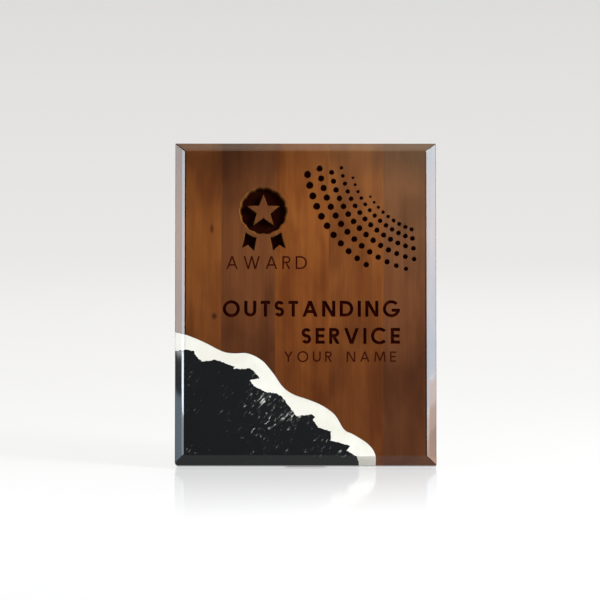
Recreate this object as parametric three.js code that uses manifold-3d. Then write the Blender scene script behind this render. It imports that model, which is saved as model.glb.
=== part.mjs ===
// A wooden award plaque that stands on a hinged strut, or hangs from a keyhole plate.
//
// The board is edge-glued from upright staves, with a bevel all round its face. Its lower left corner is cast
// resin: a white pour against the wood, and a black pour inside that. The face is engraved with a rosette, a
// fan of drilled dots and a title. The back carries the keyhole plate, the strut with its hinge, and bumpers.
//
// Millimetres, +Z up. X runs across the plaque and the face looks towards -Y. The plaque leans back on its
// strut, as it stands on a table, and Z = 0 is the table. Each piece is drawn in the board's own frame, with
// y = 0 at the board's back and z = 0 at its bottom edge, and the lean is put on at the end.
import * as THREE from "three";
import { mergeVertices } from "three/addons/utils/BufferGeometryUtils.js";
import Module from "manifold-3d";

const wasm = await Module();
wasm.setup();

// Board
const WIDTH = 204;
const HEIGHT = 253;
const THICKNESS = 19;
const BEVEL_SIDE = 7.3; // the bevel's width along the two long sides
const BEVEL_END = 6.4; // and along the top and bottom
const BEVEL_DEPTH = 5.5;
const STAVE_COUNT = 5;
const FIRST_STAVE = 36; // the left stave is trimmed, and the others share what is left
const GLUE_LINE = 0.1;

// Cast corner
const POUR_GAP = 0.2;
const RESIN_CORNER_RADIUS = 2.5;

// Stance
const LEAN = THREE.MathUtils.degToRad(10); // of the board, back from upright
const STRUT_OPEN = THREE.MathUtils.degToRad(18); // between the board's back and the open strut

// Engraving, all cut in from the face
const ROSETTE_DEPTH = 5;
const DOT_DEPTH = 3.5;
const TITLE_DEPTH = 1.8;
const TITLE_HEIGHT = 12.4;
const TITLE_STROKE = 2.5;
const TITLE_LINE_PITCH = 21.3;
const LETTER_GAP = 3.4;

// Screws, countersunk
const SCREW_LENGTH = 12;
const SCREW_RADIUS = 1.45;
const SCREW_HEAD_RADIUS = 2.8;
const SCREW_HEAD_DEPTH = 1.6;
const SCREW_POINT = 2;
const SCREW_CLEARANCE = 0.15;

// Keyhole plate, let into the back
const KEYHOLE_DROP = 31.5; // from the top of the board down to the centre of the entry hole
const KEYHOLE_ENTRY_RADIUS = 5;
const KEYHOLE_SLOT_WIDTH = 5.6;
const KEYHOLE_TRAVEL = 11; // from the centre of the entry hole up to the centre of the slot's round end
const KEYHOLE_PLATE_WIDTH = 16;
const KEYHOLE_PLATE_THICKNESS = 1.5;
const KEYHOLE_PLATE_LAND = 1.55; // of metal between a screw's head and the keyhole
const KEYHOLE_PLATE_END = 6; // from a screw's centre to the plate's end
const KEYHOLE_POCKET_DEPTH = 9;
const KEYHOLE_POCKET_MARGIN = 0.6; // all round the entry hole, so that the plate's edge overhangs
const RECESS_CLEARANCE = 0.3;

// Strut and its hinge
const LEAF_DROP = 28; // from the keyhole plate's lower end down to the top of the hinge leaf
const LEAF_HEIGHT = 28; // from the pin to the top of the leaf
const LEAF_THICKNESS = 1.4;
const LEAF_SCREW_RISE = 8.5; // from the pin up to the lower pair of screws
const LEAF_SCREW_EDGE = 5.5; // from the leaf's edges in to a screw's centre
const PIN_RADIUS = 1.5;
const PIN_CLEARANCE = 0.1;
const PIN_END = 0.8; // how far the pin shows past the leaf at each end
const KNUCKLE_RADIUS = 3;
const KNUCKLE_MIDDLE = 16;
const KNUCKLE_END = 8;
const KNUCKLE_GAP = 0.3;
const LEG_THICKNESS = 1.5;
const LEG_WIDTH_TOP = 22;
const LEG_WIDTH_FOOT = 30;
const LEG_NECK = 5; // below the pin, where the leg starts to widen from its knuckle
const LEG_SHOULDER = 14; // below the pin, where it reaches its width at the top
const LEG_FLANGE = 2.2;
const HEEL_WIDTH = 12;
const STOP_GAP = 0.15;
const BOOT_WALL = 1.2;
const BOOT_SOLE = 2.5;
const BOOT_HEIGHT = 12;
const BOOT_CLEARANCE = 0.15;

// Stick-on bumpers, taller than the folded strut
const BUMPER_RADIUS = 6;
const BUMPER_HEIGHT = 8;
const BUMPER_INSET = 17;

const SEAT_GAP = 0.2; // between the board's back and what is fixed on it
const OVERCUT = 1; // how far a cutter runs past the face that it cuts

const LEFT = -WIDTH / 2;
const FACE = -THICKNESS;

const coloured = (color, roughness, metalness = 0) =>
  new THREE.MeshStandardMaterial({ color, roughness, metalness });
const walnut = coloured("#78452a", 0.35);
const whiteResin = coloured("#f1ede0", 0.15);
const blackResin = coloured("#222324", 0.15);
const steel = coloured("#b9bbbd", 0.35, 1);
const blackSteel = coloured("#26272a", 0.5);
const rubber = coloured("#3a3a3b", 0.8);

// ---- Solids ----

// A closed geometry as a solid that can be joined and cut.
function solidOf(geometry) {
  const bare = geometry.index ? geometry.toNonIndexed() : geometry.clone();
  bare.deleteAttribute("normal");
  bare.deleteAttribute("uv");
  const merged = mergeVertices(bare, 1e-4);
  return new wasm.Manifold(
    new wasm.Mesh({
      numProp: 3,
      vertProperties: merged.attributes.position.array,
      triVerts: new Uint32Array(merged.index.array),
    }),
  );
}

// A solid as a named mesh.
function meshOf(name, solid, material) {
  const { vertProperties, triVerts } = solid.getMesh();
  const geometry = new THREE.BufferGeometry();
  geometry.setAttribute("position", new THREE.BufferAttribute(vertProperties, 3));
  geometry.setIndex(new THREE.BufferAttribute(triVerts, 1));
  geometry.computeVertexNormals();
  const mesh = new THREE.Mesh(geometry, material);
  mesh.name = name;
  return mesh;
}

const joined = (solids) => solids.reduce((all, solid) => all.add(solid));

// A shape drawn across and up the board, made solid from one depth back to another.
function slab(shape, front, back, curveSegments = 12) {
  const options = { depth: back - front, bevelEnabled: false, curveSegments };
  return solidOf(new THREE.ExtrudeGeometry(shape, options).rotateX(Math.PI / 2).translate(0, back, 0));
}

// A profile drawn in depth and height, made solid across the board.
function bar(profile, left, right) {
  const across = new THREE.Matrix4().makeBasis(
    new THREE.Vector3(0, 1, 0),
    new THREE.Vector3(0, 0, 1),
    new THREE.Vector3(1, 0, 0),
  );
  const options = { depth: right - left, bevelEnabled: false };
  return solidOf(
    new THREE.ExtrudeGeometry(polygon(profile), options).applyMatrix4(across).translate(left, 0, 0),
  );
}

function box(left, right, front, back, bottom, top) {
  const geometry = new THREE.BoxGeometry(right - left, back - front, top - bottom);
  return solidOf(geometry.translate((left + right) / 2, (front + back) / 2, (bottom + top) / 2));
}

const points = (pairs) => pairs.map(([x, y]) => new THREE.Vector2(x, y));
const polygon = (pairs) => new THREE.Shape(points(pairs));

// A profile drawn in radius and depth, turned about Y.
const turned = (profile, sides) => solidOf(new THREE.LatheGeometry(points(profile), sides));

// A cylinder along X, centred on x = 0.
const axle = (radius, length) =>
  solidOf(new THREE.CylinderGeometry(radius, radius, length, 20).rotateZ(Math.PI / 2));

// A stretched circle standing on end: a slot's outline, from the centre of one round end to the other.
function stadium(radius, bottom, top) {
  return new THREE.Shape()
    .absarc(0, top, radius, 0, Math.PI)
    .absarc(0, bottom, radius, Math.PI, 2 * Math.PI);
}

// ---- Board and cast corner ----

// The bevelled blank: its end-on profile crossed with its profile from above, which mitres the corners.
function boardBlank() {
  const shoulder = FACE + BEVEL_DEPTH;
  const endOn = [
    [FACE, BEVEL_END],
    [shoulder, 0],
    [0, 0],
    [0, HEIGHT],
    [shoulder, HEIGHT],
    [FACE, HEIGHT - BEVEL_END],
  ];
  const fromAbove = polygon([
    [LEFT + BEVEL_SIDE, FACE],
    [-LEFT - BEVEL_SIDE, FACE],
    [-LEFT, shoulder],
    [-LEFT, 0],
    [LEFT, 0],
    [LEFT, shoulder],
  ]);
  const upright = new THREE.ExtrudeGeometry(fromAbove, {
    depth: HEIGHT + 2 * OVERCUT,
    bevelEnabled: false,
  }).translate(0, 0, -OVERCUT);
  return bar(endOn, LEFT - OVERCUT, -LEFT + OVERCUT).intersect(solidOf(upright));
}

// Both pours are drawn from the board's lower left corner, from the left side round to the bottom edge.
// The white pour's edge against the wood flows in long waves.
const POUR_EDGE = new THREE.SplineCurve(
  points([
    [-6, 106],
    [7, 102.5],
    [22, 96.5],
    [37, 89],
    [46, 87.4],
    [57, 87.3],
    [68, 81.8],
    [77, 71.5],
    [84, 61.5],
    [92, 55.5],
    [104, 51.2],
    [115, 46.5],
    [125, 39],
    [132, 27.8],
    [139.5, 23.8],
    [150, 17],
    [156, 9],
    [156.4, 0],
    [156.4, -6],
  ]),
)
  .getPoints(54)
  .map(({ x, y }) => [x, y]);

// The black pour's edge is torn, where it was dragged out into the white.
const TORN_EDGE = [
  [-6, 88.5],
  [1, 89.5],
  [8, 90.4],
  [15, 88.8],
  [16.8, 84.6],
  [21.3, 80.8],
  [31.6, 82.3],
  [40.8, 79],
  [46.8, 76.6],
  [45.4, 75.2],
  [54.6, 74.8],
  [57.4, 75.8],
  [61.8, 73.6],
  [66.2, 67.4],
  [58.2, 66],
  [61.6, 61.6],
  [70.6, 57],
  [78.8, 56],
  [83.4, 53.4],
  [90.2, 44.4],
  [95, 38.2],
  [102.6, 39],
  [106.4, 39.6],
  [109.2, 37.6],
  [107.6, 35],
  [112, 28.8],
  [121.8, 26.4],
  [121.2, 19],
  [130.2, 16.8],
  [136.6, 15],
  [134, 11],
  [138, 9],
  [142, 6.6],
  [143.4, 2.6],
  [143.6, -6],
];

// An edge moved by a gap into its own pour, with its corners mitred.
function drawnIn(edge, gap) {
  const inward = edge.slice(1).map(([x, z], i) => {
    const [alongX, alongZ] = [x - edge[i][0], z - edge[i][1]];
    const length = Math.hypot(alongX, alongZ);
    return [alongZ / length, -alongX / length];
  });
  return edge.map(([x, z], i) => {
    const [beforeX, beforeZ] = inward[Math.max(i - 1, 0)];
    const [afterX, afterZ] = inward[Math.min(i, inward.length - 1)];
    const reach = gap / (1 + beforeX * afterX + beforeZ * afterZ);
    return [x + reach * (beforeX + afterX), z + reach * (beforeZ + afterZ)];
  });
}

// Everything below and to the left of an edge, through the whole board.
function pour(edge) {
  const [firstX, firstZ] = edge[0];
  const [, lastZ] = edge[edge.length - 1];
  const onBoard = [[firstX, lastZ], [firstX, firstZ], ...edge.slice(1)];
  return slab(polygon(onBoard.map(([x, z]) => [LEFT + x, z])), FACE - OVERCUT, OVERCUT);
}

// What is sanded off the resin's sharp lower corner.
function cornerWaste() {
  const r = RESIN_CORNER_RADIUS;
  const waste = new THREE.Shape()
    .moveTo(LEFT - OVERCUT, r)
    .lineTo(LEFT - OVERCUT, -OVERCUT)
    .lineTo(LEFT + r, -OVERCUT)
    .lineTo(LEFT + r, 0)
    .absarc(LEFT + r, r, r, -Math.PI / 2, -Math.PI, true);
  return slab(waste, FACE - OVERCUT, OVERCUT, 5);
}

// ---- Engraving ----
// The artwork is laid out from its own lower left corner, for a board of its own size. On a board of another
// size it is scaled to fit, and keeps to the middle and the top.

const ART_WIDTH = 204;
const ART_HEIGHT = 253;
const ART_SCALE = Math.min(WIDTH / ART_WIDTH, HEIGHT / ART_HEIGHT);
const ART_ORIGIN = [(-ART_WIDTH / 2) * ART_SCALE, HEIGHT - ART_HEIGHT * ART_SCALE];
const TITLE_RIGHT = 175.6;
const TITLE_BASELINE = 116;
const ROSETTE_CENTRE = [69, 199];
const ROSETTE_RADIUS = 19.5;
const ROSETTE_SCALLOPS = 14;
const ROSETTE_SCALLOP_DEPTH = 0.9;
const STAR_RADIUS = 12;
const STAR_INNER_RADIUS = 5;
const RIBBON_GAP = 1.6; // between the disc and its ribbon tails

// A cut that starts at depth 0 in the artwork's millimetres, put in its place on the face.
const onFace = (cut) =>
  cut.scale([ART_SCALE, 1, ART_SCALE]).translate([ART_ORIGIN[0], FACE - OVERCUT, ART_ORIGIN[1]]);

const engraved = (shape, depth, curveSegments) =>
  onFace(slab(shape, 0, depth + OVERCUT, curveSegments));

const polar = (centre, radius, angle) => [
  centre[0] + radius * Math.cos(angle),
  centre[1] + radius * Math.sin(angle),
];

// An award rosette: a scalloped disc with a raised star in it, over two ribbon tails.
function rosette() {
  const outline = [];
  const steps = ROSETTE_SCALLOPS * 6;
  for (let i = 0; i < steps; i += 1) {
    const angle = (2 * Math.PI * i) / steps;
    const ripple = ROSETTE_SCALLOP_DEPTH * Math.abs(Math.cos((ROSETTE_SCALLOPS * angle) / 2));
    outline.push(polar(ROSETTE_CENTRE, ROSETTE_RADIUS - ROSETTE_SCALLOP_DEPTH + ripple, angle));
  }
  const star = [];
  for (let i = 0; i < 10; i += 1) {
    const radius = i % 2 ? STAR_INNER_RADIUS : STAR_RADIUS;
    star.push(polar(ROSETTE_CENTRE, radius, Math.PI / 2 + (i * Math.PI) / 5));
  }
  const disc = polygon(outline);
  disc.holes.push(polygon(star));
  const cuts = [engraved(disc, ROSETTE_DEPTH)];
  const keepClear = engraved(
    new THREE.Shape().absarc(...ROSETTE_CENTRE, ROSETTE_RADIUS + RIBBON_GAP, 0, 2 * Math.PI),
    ROSETTE_DEPTH,
    16,
  );
  for (const side of [-1, 1]) {
    const tail = [
      [2, -8],
      [13, -12],
      [18, -30],
      [12.5, -27],
      [7, -32],
    ].map(([x, z]) => [ROSETTE_CENTRE[0] + side * x, ROSETTE_CENTRE[1] + z]);
    cuts.push(engraved(polygon(tail), ROSETTE_DEPTH).subtract(keepClear));
  }
  return joined(cuts);
}

// A fan of dots on arcs about a point by the top right corner. The arcs and their dots shrink in one ratio,
// and each arc's dots are largest where a band slants across it.
function dotFan() {
  const centre = [205, 243];
  const step = 360 / 74;
  const shrink = 0.9035;
  const arcs = [
    { first: 188.5, count: 11 },
    { first: 186.5, count: 15 },
    { first: 189.3, count: 15 },
    { first: 187.5, count: 15 },
    { first: 195, count: 13 },
    { first: 212, count: 9 },
  ];
  return joined(
    arcs.flatMap(({ first, count }, arc) => {
      const radius = 102.6 * shrink ** arc;
      const largest = 5.4 * shrink ** arc;
      const largestAt = 193 + 13 * arc;
      return Array.from({ length: count }, (_, i) => {
        const angle = first + step * i;
        const diameter = largest - 0.0007 * (angle - largestAt) ** 2;
        const [x, z] = polar(centre, radius, THREE.MathUtils.degToRad(angle));
        return engraved(new THREE.Shape().absarc(x, z, diameter / 2, 0, 2 * Math.PI), DOT_DEPTH, 5);
      });
    }),
  );
}

// Block capitals on a height of 1, each drawn by the centre lines of its strokes.
const HALF = TITLE_STROKE / TITLE_HEIGHT / 2;
const LOW = HALF;
const HIGH = 1 - HALF;
const S_BOWL = (HIGH - LOW) / 4;

// An upright or leaning stroke with level ends.
function stem(footX, headX = footX, foot = 0, head = 1) {
  const run = HALF * Math.hypot(1, (headX - footX) / (head - foot));
  return polygon([
    [footX - run, foot],
    [footX + run, foot],
    [headX + run, head],
    [headX - run, head],
  ]);
}

const level = (left, right, z) =>
  polygon([
    [left, z - HALF],
    [right, z - HALF],
    [right, z + HALF],
    [left, z + HALF],
  ]);

// Part of a ring, from one angle to another in degrees.
function bow(x, z, radius, from, to) {
  const [start, end] = [from, to].map(THREE.MathUtils.degToRad);
  return new THREE.Shape()
    .absarc(x, z, radius + HALF, start, end, false)
    .absarc(x, z, radius - HALF, end, start, true);
}

const LETTERS = {
  A: { width: 0.97, strokes: [stem(0.11, 0.485), stem(0.86, 0.485), level(0.2, 0.77, 0.32)] },
  C: { width: 0.98, strokes: [bow(0.54, 0.5, 0.54 - HALF, 42, 318)] },
  D: {
    width: 0.86,
    strokes: [
      stem(HALF),
      level(0, 0.37, LOW),
      level(0, 0.37, HIGH),
      bow(0.36, 0.5, 0.5 - HALF, -90, 90),
    ],
  },
  E: {
    width: 0.58,
    strokes: [stem(HALF), level(0, 0.58, LOW), level(0, 0.55, 0.5), level(0, 0.58, HIGH)],
  },
  G: { width: 1.08, strokes: [bow(0.54, 0.5, 0.54 - HALF, 42, 360), level(0.56, 1.08, 0.5 - HALF)] },
  I: { width: 2 * HALF, strokes: [stem(HALF)] },
  N: { width: 0.83, strokes: [stem(HALF), stem(0.83 - HALF), stem(0.7, 0.13)] },
  O: {
    width: 1.08,
    strokes: [bow(0.54, 0.5, 0.54 - HALF, 0, 180), bow(0.54, 0.5, 0.54 - HALF, 180, 360)],
  },
  R: {
    width: 0.67,
    strokes: [
      stem(HALF),
      level(0, 0.36, HIGH),
      level(0, 0.36, 0.52),
      bow(0.35, (0.52 + HIGH) / 2, (HIGH - 0.52) / 2, -90, 90),
      stem(0.56, 0.3, 0, 0.45),
    ],
  },
  S: {
    width: 2 * (S_BOWL + HALF),
    strokes: [
      bow(S_BOWL + HALF, HIGH - S_BOWL, S_BOWL, 25, 270),
      bow(S_BOWL + HALF, LOW + S_BOWL, S_BOWL, -155, 90),
    ],
  },
  T: { width: 0.6, strokes: [level(0, 0.6, HIGH), stem(0.3)] },
  U: {
    width: 0.76,
    strokes: [
      stem(HALF, HALF, 0.37),
      stem(0.76 - HALF, 0.76 - HALF, 0.37),
      bow(0.38, 0.38, 0.38 - HALF, 180, 360),
    ],
  },
  V: { width: 0.93, strokes: [stem(0.465, 0.11), stem(0.465, 0.82)] },
};

// The title's two lines, which end at the same right-hand margin.
function title() {
  const gap = LETTER_GAP / TITLE_HEIGHT;
  const cuts = [];
  ["OUTSTANDING", "SERVICE"].forEach((line, row) => {
    const letters = [...line].map((letter) => LETTERS[letter]);
    const length = letters.reduce((sum, { width }) => sum + width + gap, -gap);
    let left = TITLE_RIGHT - length * TITLE_HEIGHT;
    for (const { width, strokes } of letters) {
      const letter = joined(strokes.map((stroke) => slab(stroke, 0, 1, 9)))
        .scale([TITLE_HEIGHT, TITLE_DEPTH + OVERCUT, TITLE_HEIGHT])
        .translate([left, 0, TITLE_BASELINE - row * TITLE_LINE_PITCH]);
      cuts.push(letter);
      left += (width + gap) * TITLE_HEIGHT;
    }
  });
  return onFace(joined(cuts));
}

// ---- Screws ----

// A countersunk screw along Y with its head flush at y = 0, grown by a clearance. Its top is cut off at top.
function screwBody(clearance, top) {
  const rim = -0.2;
  const profile = [
    [0, -SCREW_LENGTH - clearance],
    [SCREW_RADIUS + clearance, -SCREW_LENGTH + SCREW_POINT - clearance],
    [SCREW_RADIUS + clearance, -SCREW_HEAD_DEPTH - clearance],
    [SCREW_HEAD_RADIUS + clearance, rim],
    [SCREW_HEAD_RADIUS + clearance, top],
    [0, top],
  ];
  return turned(profile, 14);
}

// The screw itself, with a cross recess in its head.
function screw() {
  const [reach, half, depth] = [1.7, 0.35, 1.1];
  return screwBody(0, 0)
    .subtract(box(-reach, reach, -depth, OVERCUT, -half, half))
    .subtract(box(-half, half, -depth, OVERCUT, -reach, reach));
}

// A solid with a clearance hole in it for each screw, whose heads are centred on these places.
const drilledFor = (places, solid) =>
  places.reduce(
    (cut, place) => cut.subtract(screwBody(SCREW_CLEARANCE, OVERCUT).translate(place)),
    solid,
  );

// ---- Keyhole plate ----

const ENTRY_Z = HEIGHT - KEYHOLE_DROP;
const SLOT_Z = ENTRY_Z + KEYHOLE_TRAVEL;
const screwReach = SCREW_HEAD_RADIUS + SCREW_CLEARANCE + KEYHOLE_PLATE_LAND;
const lowerScrewZ = ENTRY_Z - KEYHOLE_ENTRY_RADIUS - screwReach;
const upperScrewZ = SLOT_Z + KEYHOLE_SLOT_WIDTH / 2 + screwReach;
const plateScrews = [
  [0, 0, lowerScrewZ],
  [0, 0, upperScrewZ],
];
const PLATE_BOTTOM = lowerScrewZ - KEYHOLE_PLATE_END;
const PLATE_TOP = upperScrewZ + KEYHOLE_PLATE_END;

function plateOutline(margin) {
  const radius = KEYHOLE_PLATE_WIDTH / 2 + margin;
  return stadium(radius, PLATE_BOTTOM - margin + radius, PLATE_TOP + margin - radius);
}

function keyholePlate() {
  const through = [-KEYHOLE_PLATE_THICKNESS - OVERCUT, OVERCUT];
  const entry = new THREE.Shape().absarc(0, ENTRY_Z, KEYHOLE_ENTRY_RADIUS, 0, 2 * Math.PI);
  const slot = stadium(KEYHOLE_SLOT_WIDTH / 2, ENTRY_Z, SLOT_Z);
  const blank = slab(plateOutline(0), -KEYHOLE_PLATE_THICKNESS, 0, 10);
  return drilledFor(
    plateScrews,
    blank.subtract(slab(entry, ...through, 10)).subtract(slab(slot, ...through, 8)),
  );
}

// The recess that the plate lies in, and the deeper pocket for the head of a wall screw.
function keyholeRecess() {
  const bed = slab(
    plateOutline(RECESS_CLEARANCE),
    -KEYHOLE_PLATE_THICKNESS - RECESS_CLEARANCE,
    OVERCUT,
    10,
  );
  const pocket = stadium(KEYHOLE_ENTRY_RADIUS + KEYHOLE_POCKET_MARGIN, ENTRY_Z, SLOT_Z);
  return bed.add(slab(pocket, -KEYHOLE_POCKET_DEPTH, OVERCUT, 8));
}

// ---- Hinge and strut ----

const HINGE_Z = PLATE_BOTTOM - LEAF_DROP - LEAF_HEIGHT;
const PIN_Y = KNUCKLE_RADIUS + KNUCKLE_GAP;
const LEAF_WIDTH = KNUCKLE_MIDDLE + 2 * KNUCKLE_GAP + 2 * KNUCKLE_END;
const LEAF_OUTER = SEAT_GAP + LEAF_THICKNESS;
const BORE_RADIUS = PIN_RADIUS + PIN_CLEARANCE;
const leafScrews = [LEAF_SCREW_RISE, LEAF_HEIGHT - LEAF_SCREW_EDGE].flatMap((rise) =>
  [-1, 1].map((side) => [side * (LEAF_WIDTH / 2 - LEAF_SCREW_EDGE), LEAF_OUTER, HINGE_Z + rise]),
);

const toPin = (solid) => solid.translate([0, PIN_Y, HINGE_Z]);

// The leaf is curled over the pin at its two ends, with a notch between them for the leg's knuckle.
function hingeLeaf() {
  const half = LEAF_WIDTH / 2;
  const notch = KNUCKLE_MIDDLE / 2 + KNUCKLE_GAP;
  const clear = KNUCKLE_RADIUS + 2 * KNUCKLE_GAP;
  const plate = box(-half, half, SEAT_GAP, LEAF_OUTER, HINGE_Z, HINGE_Z + LEAF_HEIGHT);
  const barrel = toPin(axle(KNUCKLE_RADIUS, LEAF_WIDTH));
  const middle = toPin(box(-notch, notch, -clear, clear, -clear, clear));
  const bore = toPin(axle(BORE_RADIUS, LEAF_WIDTH + 2 * OVERCUT));
  return drilledFor(leafScrews, plate.add(barrel).subtract(middle).subtract(bore));
}

function hingePin() {
  const end = LEAF_WIDTH / 2 + PIN_END;
  const chamfer = PIN_END / 2;
  const profile = [
    [0, -end],
    [PIN_RADIUS - chamfer, -end],
    [PIN_RADIUS, -end + chamfer],
    [PIN_RADIUS, end - chamfer],
    [PIN_RADIUS - chamfer, end],
    [0, end],
  ];
  return toPin(turned(profile, 20).rotate([0, 0, -90]));
}

// The table, seen from the strut's own frame: the pin is its origin and the folded leg hangs down -Z.
const pinAboveTable = HINGE_Z * Math.cos(LEAN) - PIN_Y * Math.sin(LEAN);
const legTilt = STRUT_OPEN - LEAN;
const tableAt = (y) => -(pinAboveTable + y * Math.sin(legTilt)) / Math.cos(legTilt);

const LEG_OUTER = KNUCKLE_RADIUS;
const LEG_INNER = LEG_OUTER - LEG_THICKNESS;
const FLANGE_INNER = LEG_INNER - LEG_FLANGE;
const LEG_FOOT = tableAt(0) + BOOT_SOLE;

// The leg's outline, drawn in by a margin on its two long edges.
function legOutline(margin, bottom) {
  const neck = KNUCKLE_MIDDLE / 2 - margin;
  const shoulder = LEG_WIDTH_TOP / 2 - margin;
  const foot = LEG_WIDTH_FOOT / 2 - margin;
  return polygon([
    [-neck, -margin],
    [-neck, -LEG_NECK],
    [-shoulder, -LEG_SHOULDER],
    [-foot, bottom],
    [foot, bottom],
    [shoulder, -LEG_SHOULDER],
    [neck, -LEG_NECK],
    [neck, -margin],
  ]);
}

// The pressed leg: a shallow channel, curled round the pin, with a heel above the pin. The heel meets the
// leaf when the strut is fully open, so its length follows from the opening angle.
function strutLeg() {
  const heelReach =
    (LEG_INNER * Math.cos(STRUT_OPEN) + (PIN_Y - LEAF_OUTER - STOP_GAP)) / Math.sin(STRUT_OPEN);
  const deep = FLANGE_INNER - OVERCUT;
  const hollow = slab(legOutline(LEG_THICKNESS, LEG_FOOT - OVERCUT), deep, LEG_INNER);
  const flatNeck = box(-LEG_WIDTH_TOP, LEG_WIDTH_TOP, deep, LEG_INNER, -LEG_NECK, OVERCUT);
  const heel = box(-HEEL_WIDTH / 2, HEEL_WIDTH / 2, LEG_INNER, LEG_OUTER, 0, heelReach);
  return slab(legOutline(0, LEG_FOOT), FLANGE_INNER, LEG_OUTER)
    .subtract(hollow)
    .subtract(flatNeck)
    .add(heel)
    .add(axle(KNUCKLE_RADIUS, KNUCKLE_MIDDLE))
    .subtract(axle(BORE_RADIUS, KNUCKLE_MIDDLE + 2 * OVERCUT));
}

// The rubber boot on the leg's end, with a sole that lies flat on the table when the strut is open.
function strutBoot() {
  const inner = FLANGE_INNER - BOOT_CLEARANCE - BOOT_WALL;
  const outer = LEG_OUTER + BOOT_CLEARANCE + BOOT_WALL;
  const top = tableAt(0) + BOOT_HEIGHT;
  const half = LEG_WIDTH_FOOT / 2 + BOOT_CLEARANCE + BOOT_WALL;
  const block = bar(
    [
      [inner, tableAt(inner)],
      [outer, tableAt(outer)],
      [outer, top],
      [inner, top],
    ],
    -half,
    half,
  );
  const socket = slab(
    legOutline(-BOOT_CLEARANCE, LEG_FOOT - BOOT_CLEARANCE),
    FLANGE_INNER - BOOT_CLEARANCE,
    LEG_OUTER + BOOT_CLEARANCE,
  );
  return block.subtract(socket);
}

// ---- Bumpers ----

// A stick-on rubber disc along Y with a chamfered rim, standing off the back.
function bumper() {
  const profile = [
    [0, 0],
    [BUMPER_RADIUS, 0],
    [BUMPER_RADIUS - 0.8, BUMPER_HEIGHT - 1],
    [BUMPER_RADIUS - 1.8, BUMPER_HEIGHT],
    [0, BUMPER_HEIGHT],
  ];
  return turned(profile, 20);
}

// ---- Assembly ----

const board = new THREE.Group();
board.rotation.x = -LEAN;

const blank = boardBlank();
const wood = drilledFor(
  [...plateScrews, ...leafScrews],
  blank
    .subtract(pour(POUR_EDGE))
    .subtract(rosette())
    .subtract(dotFan())
    .subtract(title())
    .subtract(keyholeRecess()),
);

const staveWidth = (WIDTH - FIRST_STAVE) / (STAVE_COUNT - 1);
for (let i = 0; i < STAVE_COUNT; i += 1) {
  const right = LEFT + FIRST_STAVE + i * staveWidth;
  const left = i ? right - staveWidth : LEFT - OVERCUT;
  const last = i === STAVE_COUNT - 1;
  const between = box(
    left + GLUE_LINE / 2,
    last ? right + OVERCUT : right - GLUE_LINE / 2,
    FACE - OVERCUT,
    OVERCUT,
    -OVERCUT,
    HEIGHT + OVERCUT,
  );
  board.add(meshOf(`stave_${i + 1}`, wood.intersect(between), walnut));
}

const whitePour = blank.intersect(pour(drawnIn(POUR_EDGE, POUR_GAP))).subtract(pour(TORN_EDGE));
const blackPour = blank.intersect(pour(drawnIn(TORN_EDGE, POUR_GAP))).subtract(cornerWaste());
board.add(meshOf("white_resin_pour", whitePour, whiteResin));
board.add(meshOf("black_resin_pour", blackPour, blackResin));

board.add(meshOf("keyhole_plate", keyholePlate(), steel));
board.add(meshOf("hinge_leaf", hingeLeaf(), blackSteel));
board.add(meshOf("hinge_pin", hingePin(), steel));

for (const [fixed, places] of [
  ["keyhole", plateScrews],
  ["hinge", leafScrews],
]) {
  places.forEach((place, i) => {
    const fixing = meshOf(`${fixed}_screw_${i + 1}`, screw(), steel);
    fixing.position.set(...place);
    board.add(fixing);
  });
}

const corners = [
  ["bottom_left", -1, BUMPER_INSET],
  ["bottom_right", 1, BUMPER_INSET],
  ["top_left", -1, HEIGHT - BUMPER_INSET],
  ["top_right", 1, HEIGHT - BUMPER_INSET],
];
for (const [where, side, z] of corners) {
  const stop = meshOf(`bumper_${where}`, bumper(), rubber);
  stop.position.set(side * (WIDTH / 2 - BUMPER_INSET), SEAT_GAP, z);
  board.add(stop);
}

const strut = new THREE.Group();
strut.position.set(0, PIN_Y, HINGE_Z);
strut.rotation.x = STRUT_OPEN;
strut.add(meshOf("strut_leg", strutLeg(), blackSteel));
strut.add(meshOf("strut_boot", strutBoot(), rubber));
board.add(strut);

// The origin is on the table, under the middle of the whole plaque.
const plaque = new THREE.Group();
plaque.add(board);
const extent = new THREE.Box3().setFromObject(plaque, true);
plaque.position.set(0, -(extent.min.y + extent.max.y) / 2, -extent.min.z);

export default plaque;
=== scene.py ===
"""A wooden award plaque: an edge-glued walnut board with a cast resin corner and an engraved face, standing
on a folding steel strut. Each section makes one piece or group of like pieces, in the order that the real
plaque is put together. Sizes are millimetres in the board's own frame: x from its middle, y back from its
face at -19 to its back at 0, and z up from its bottom edge. The board leans back, and its frame is put on
each piece."""

import random
from math import copysign, cos, hypot, pi, radians, sin

import bmesh
import bpy
from mathutils import Matrix, Vector


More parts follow.
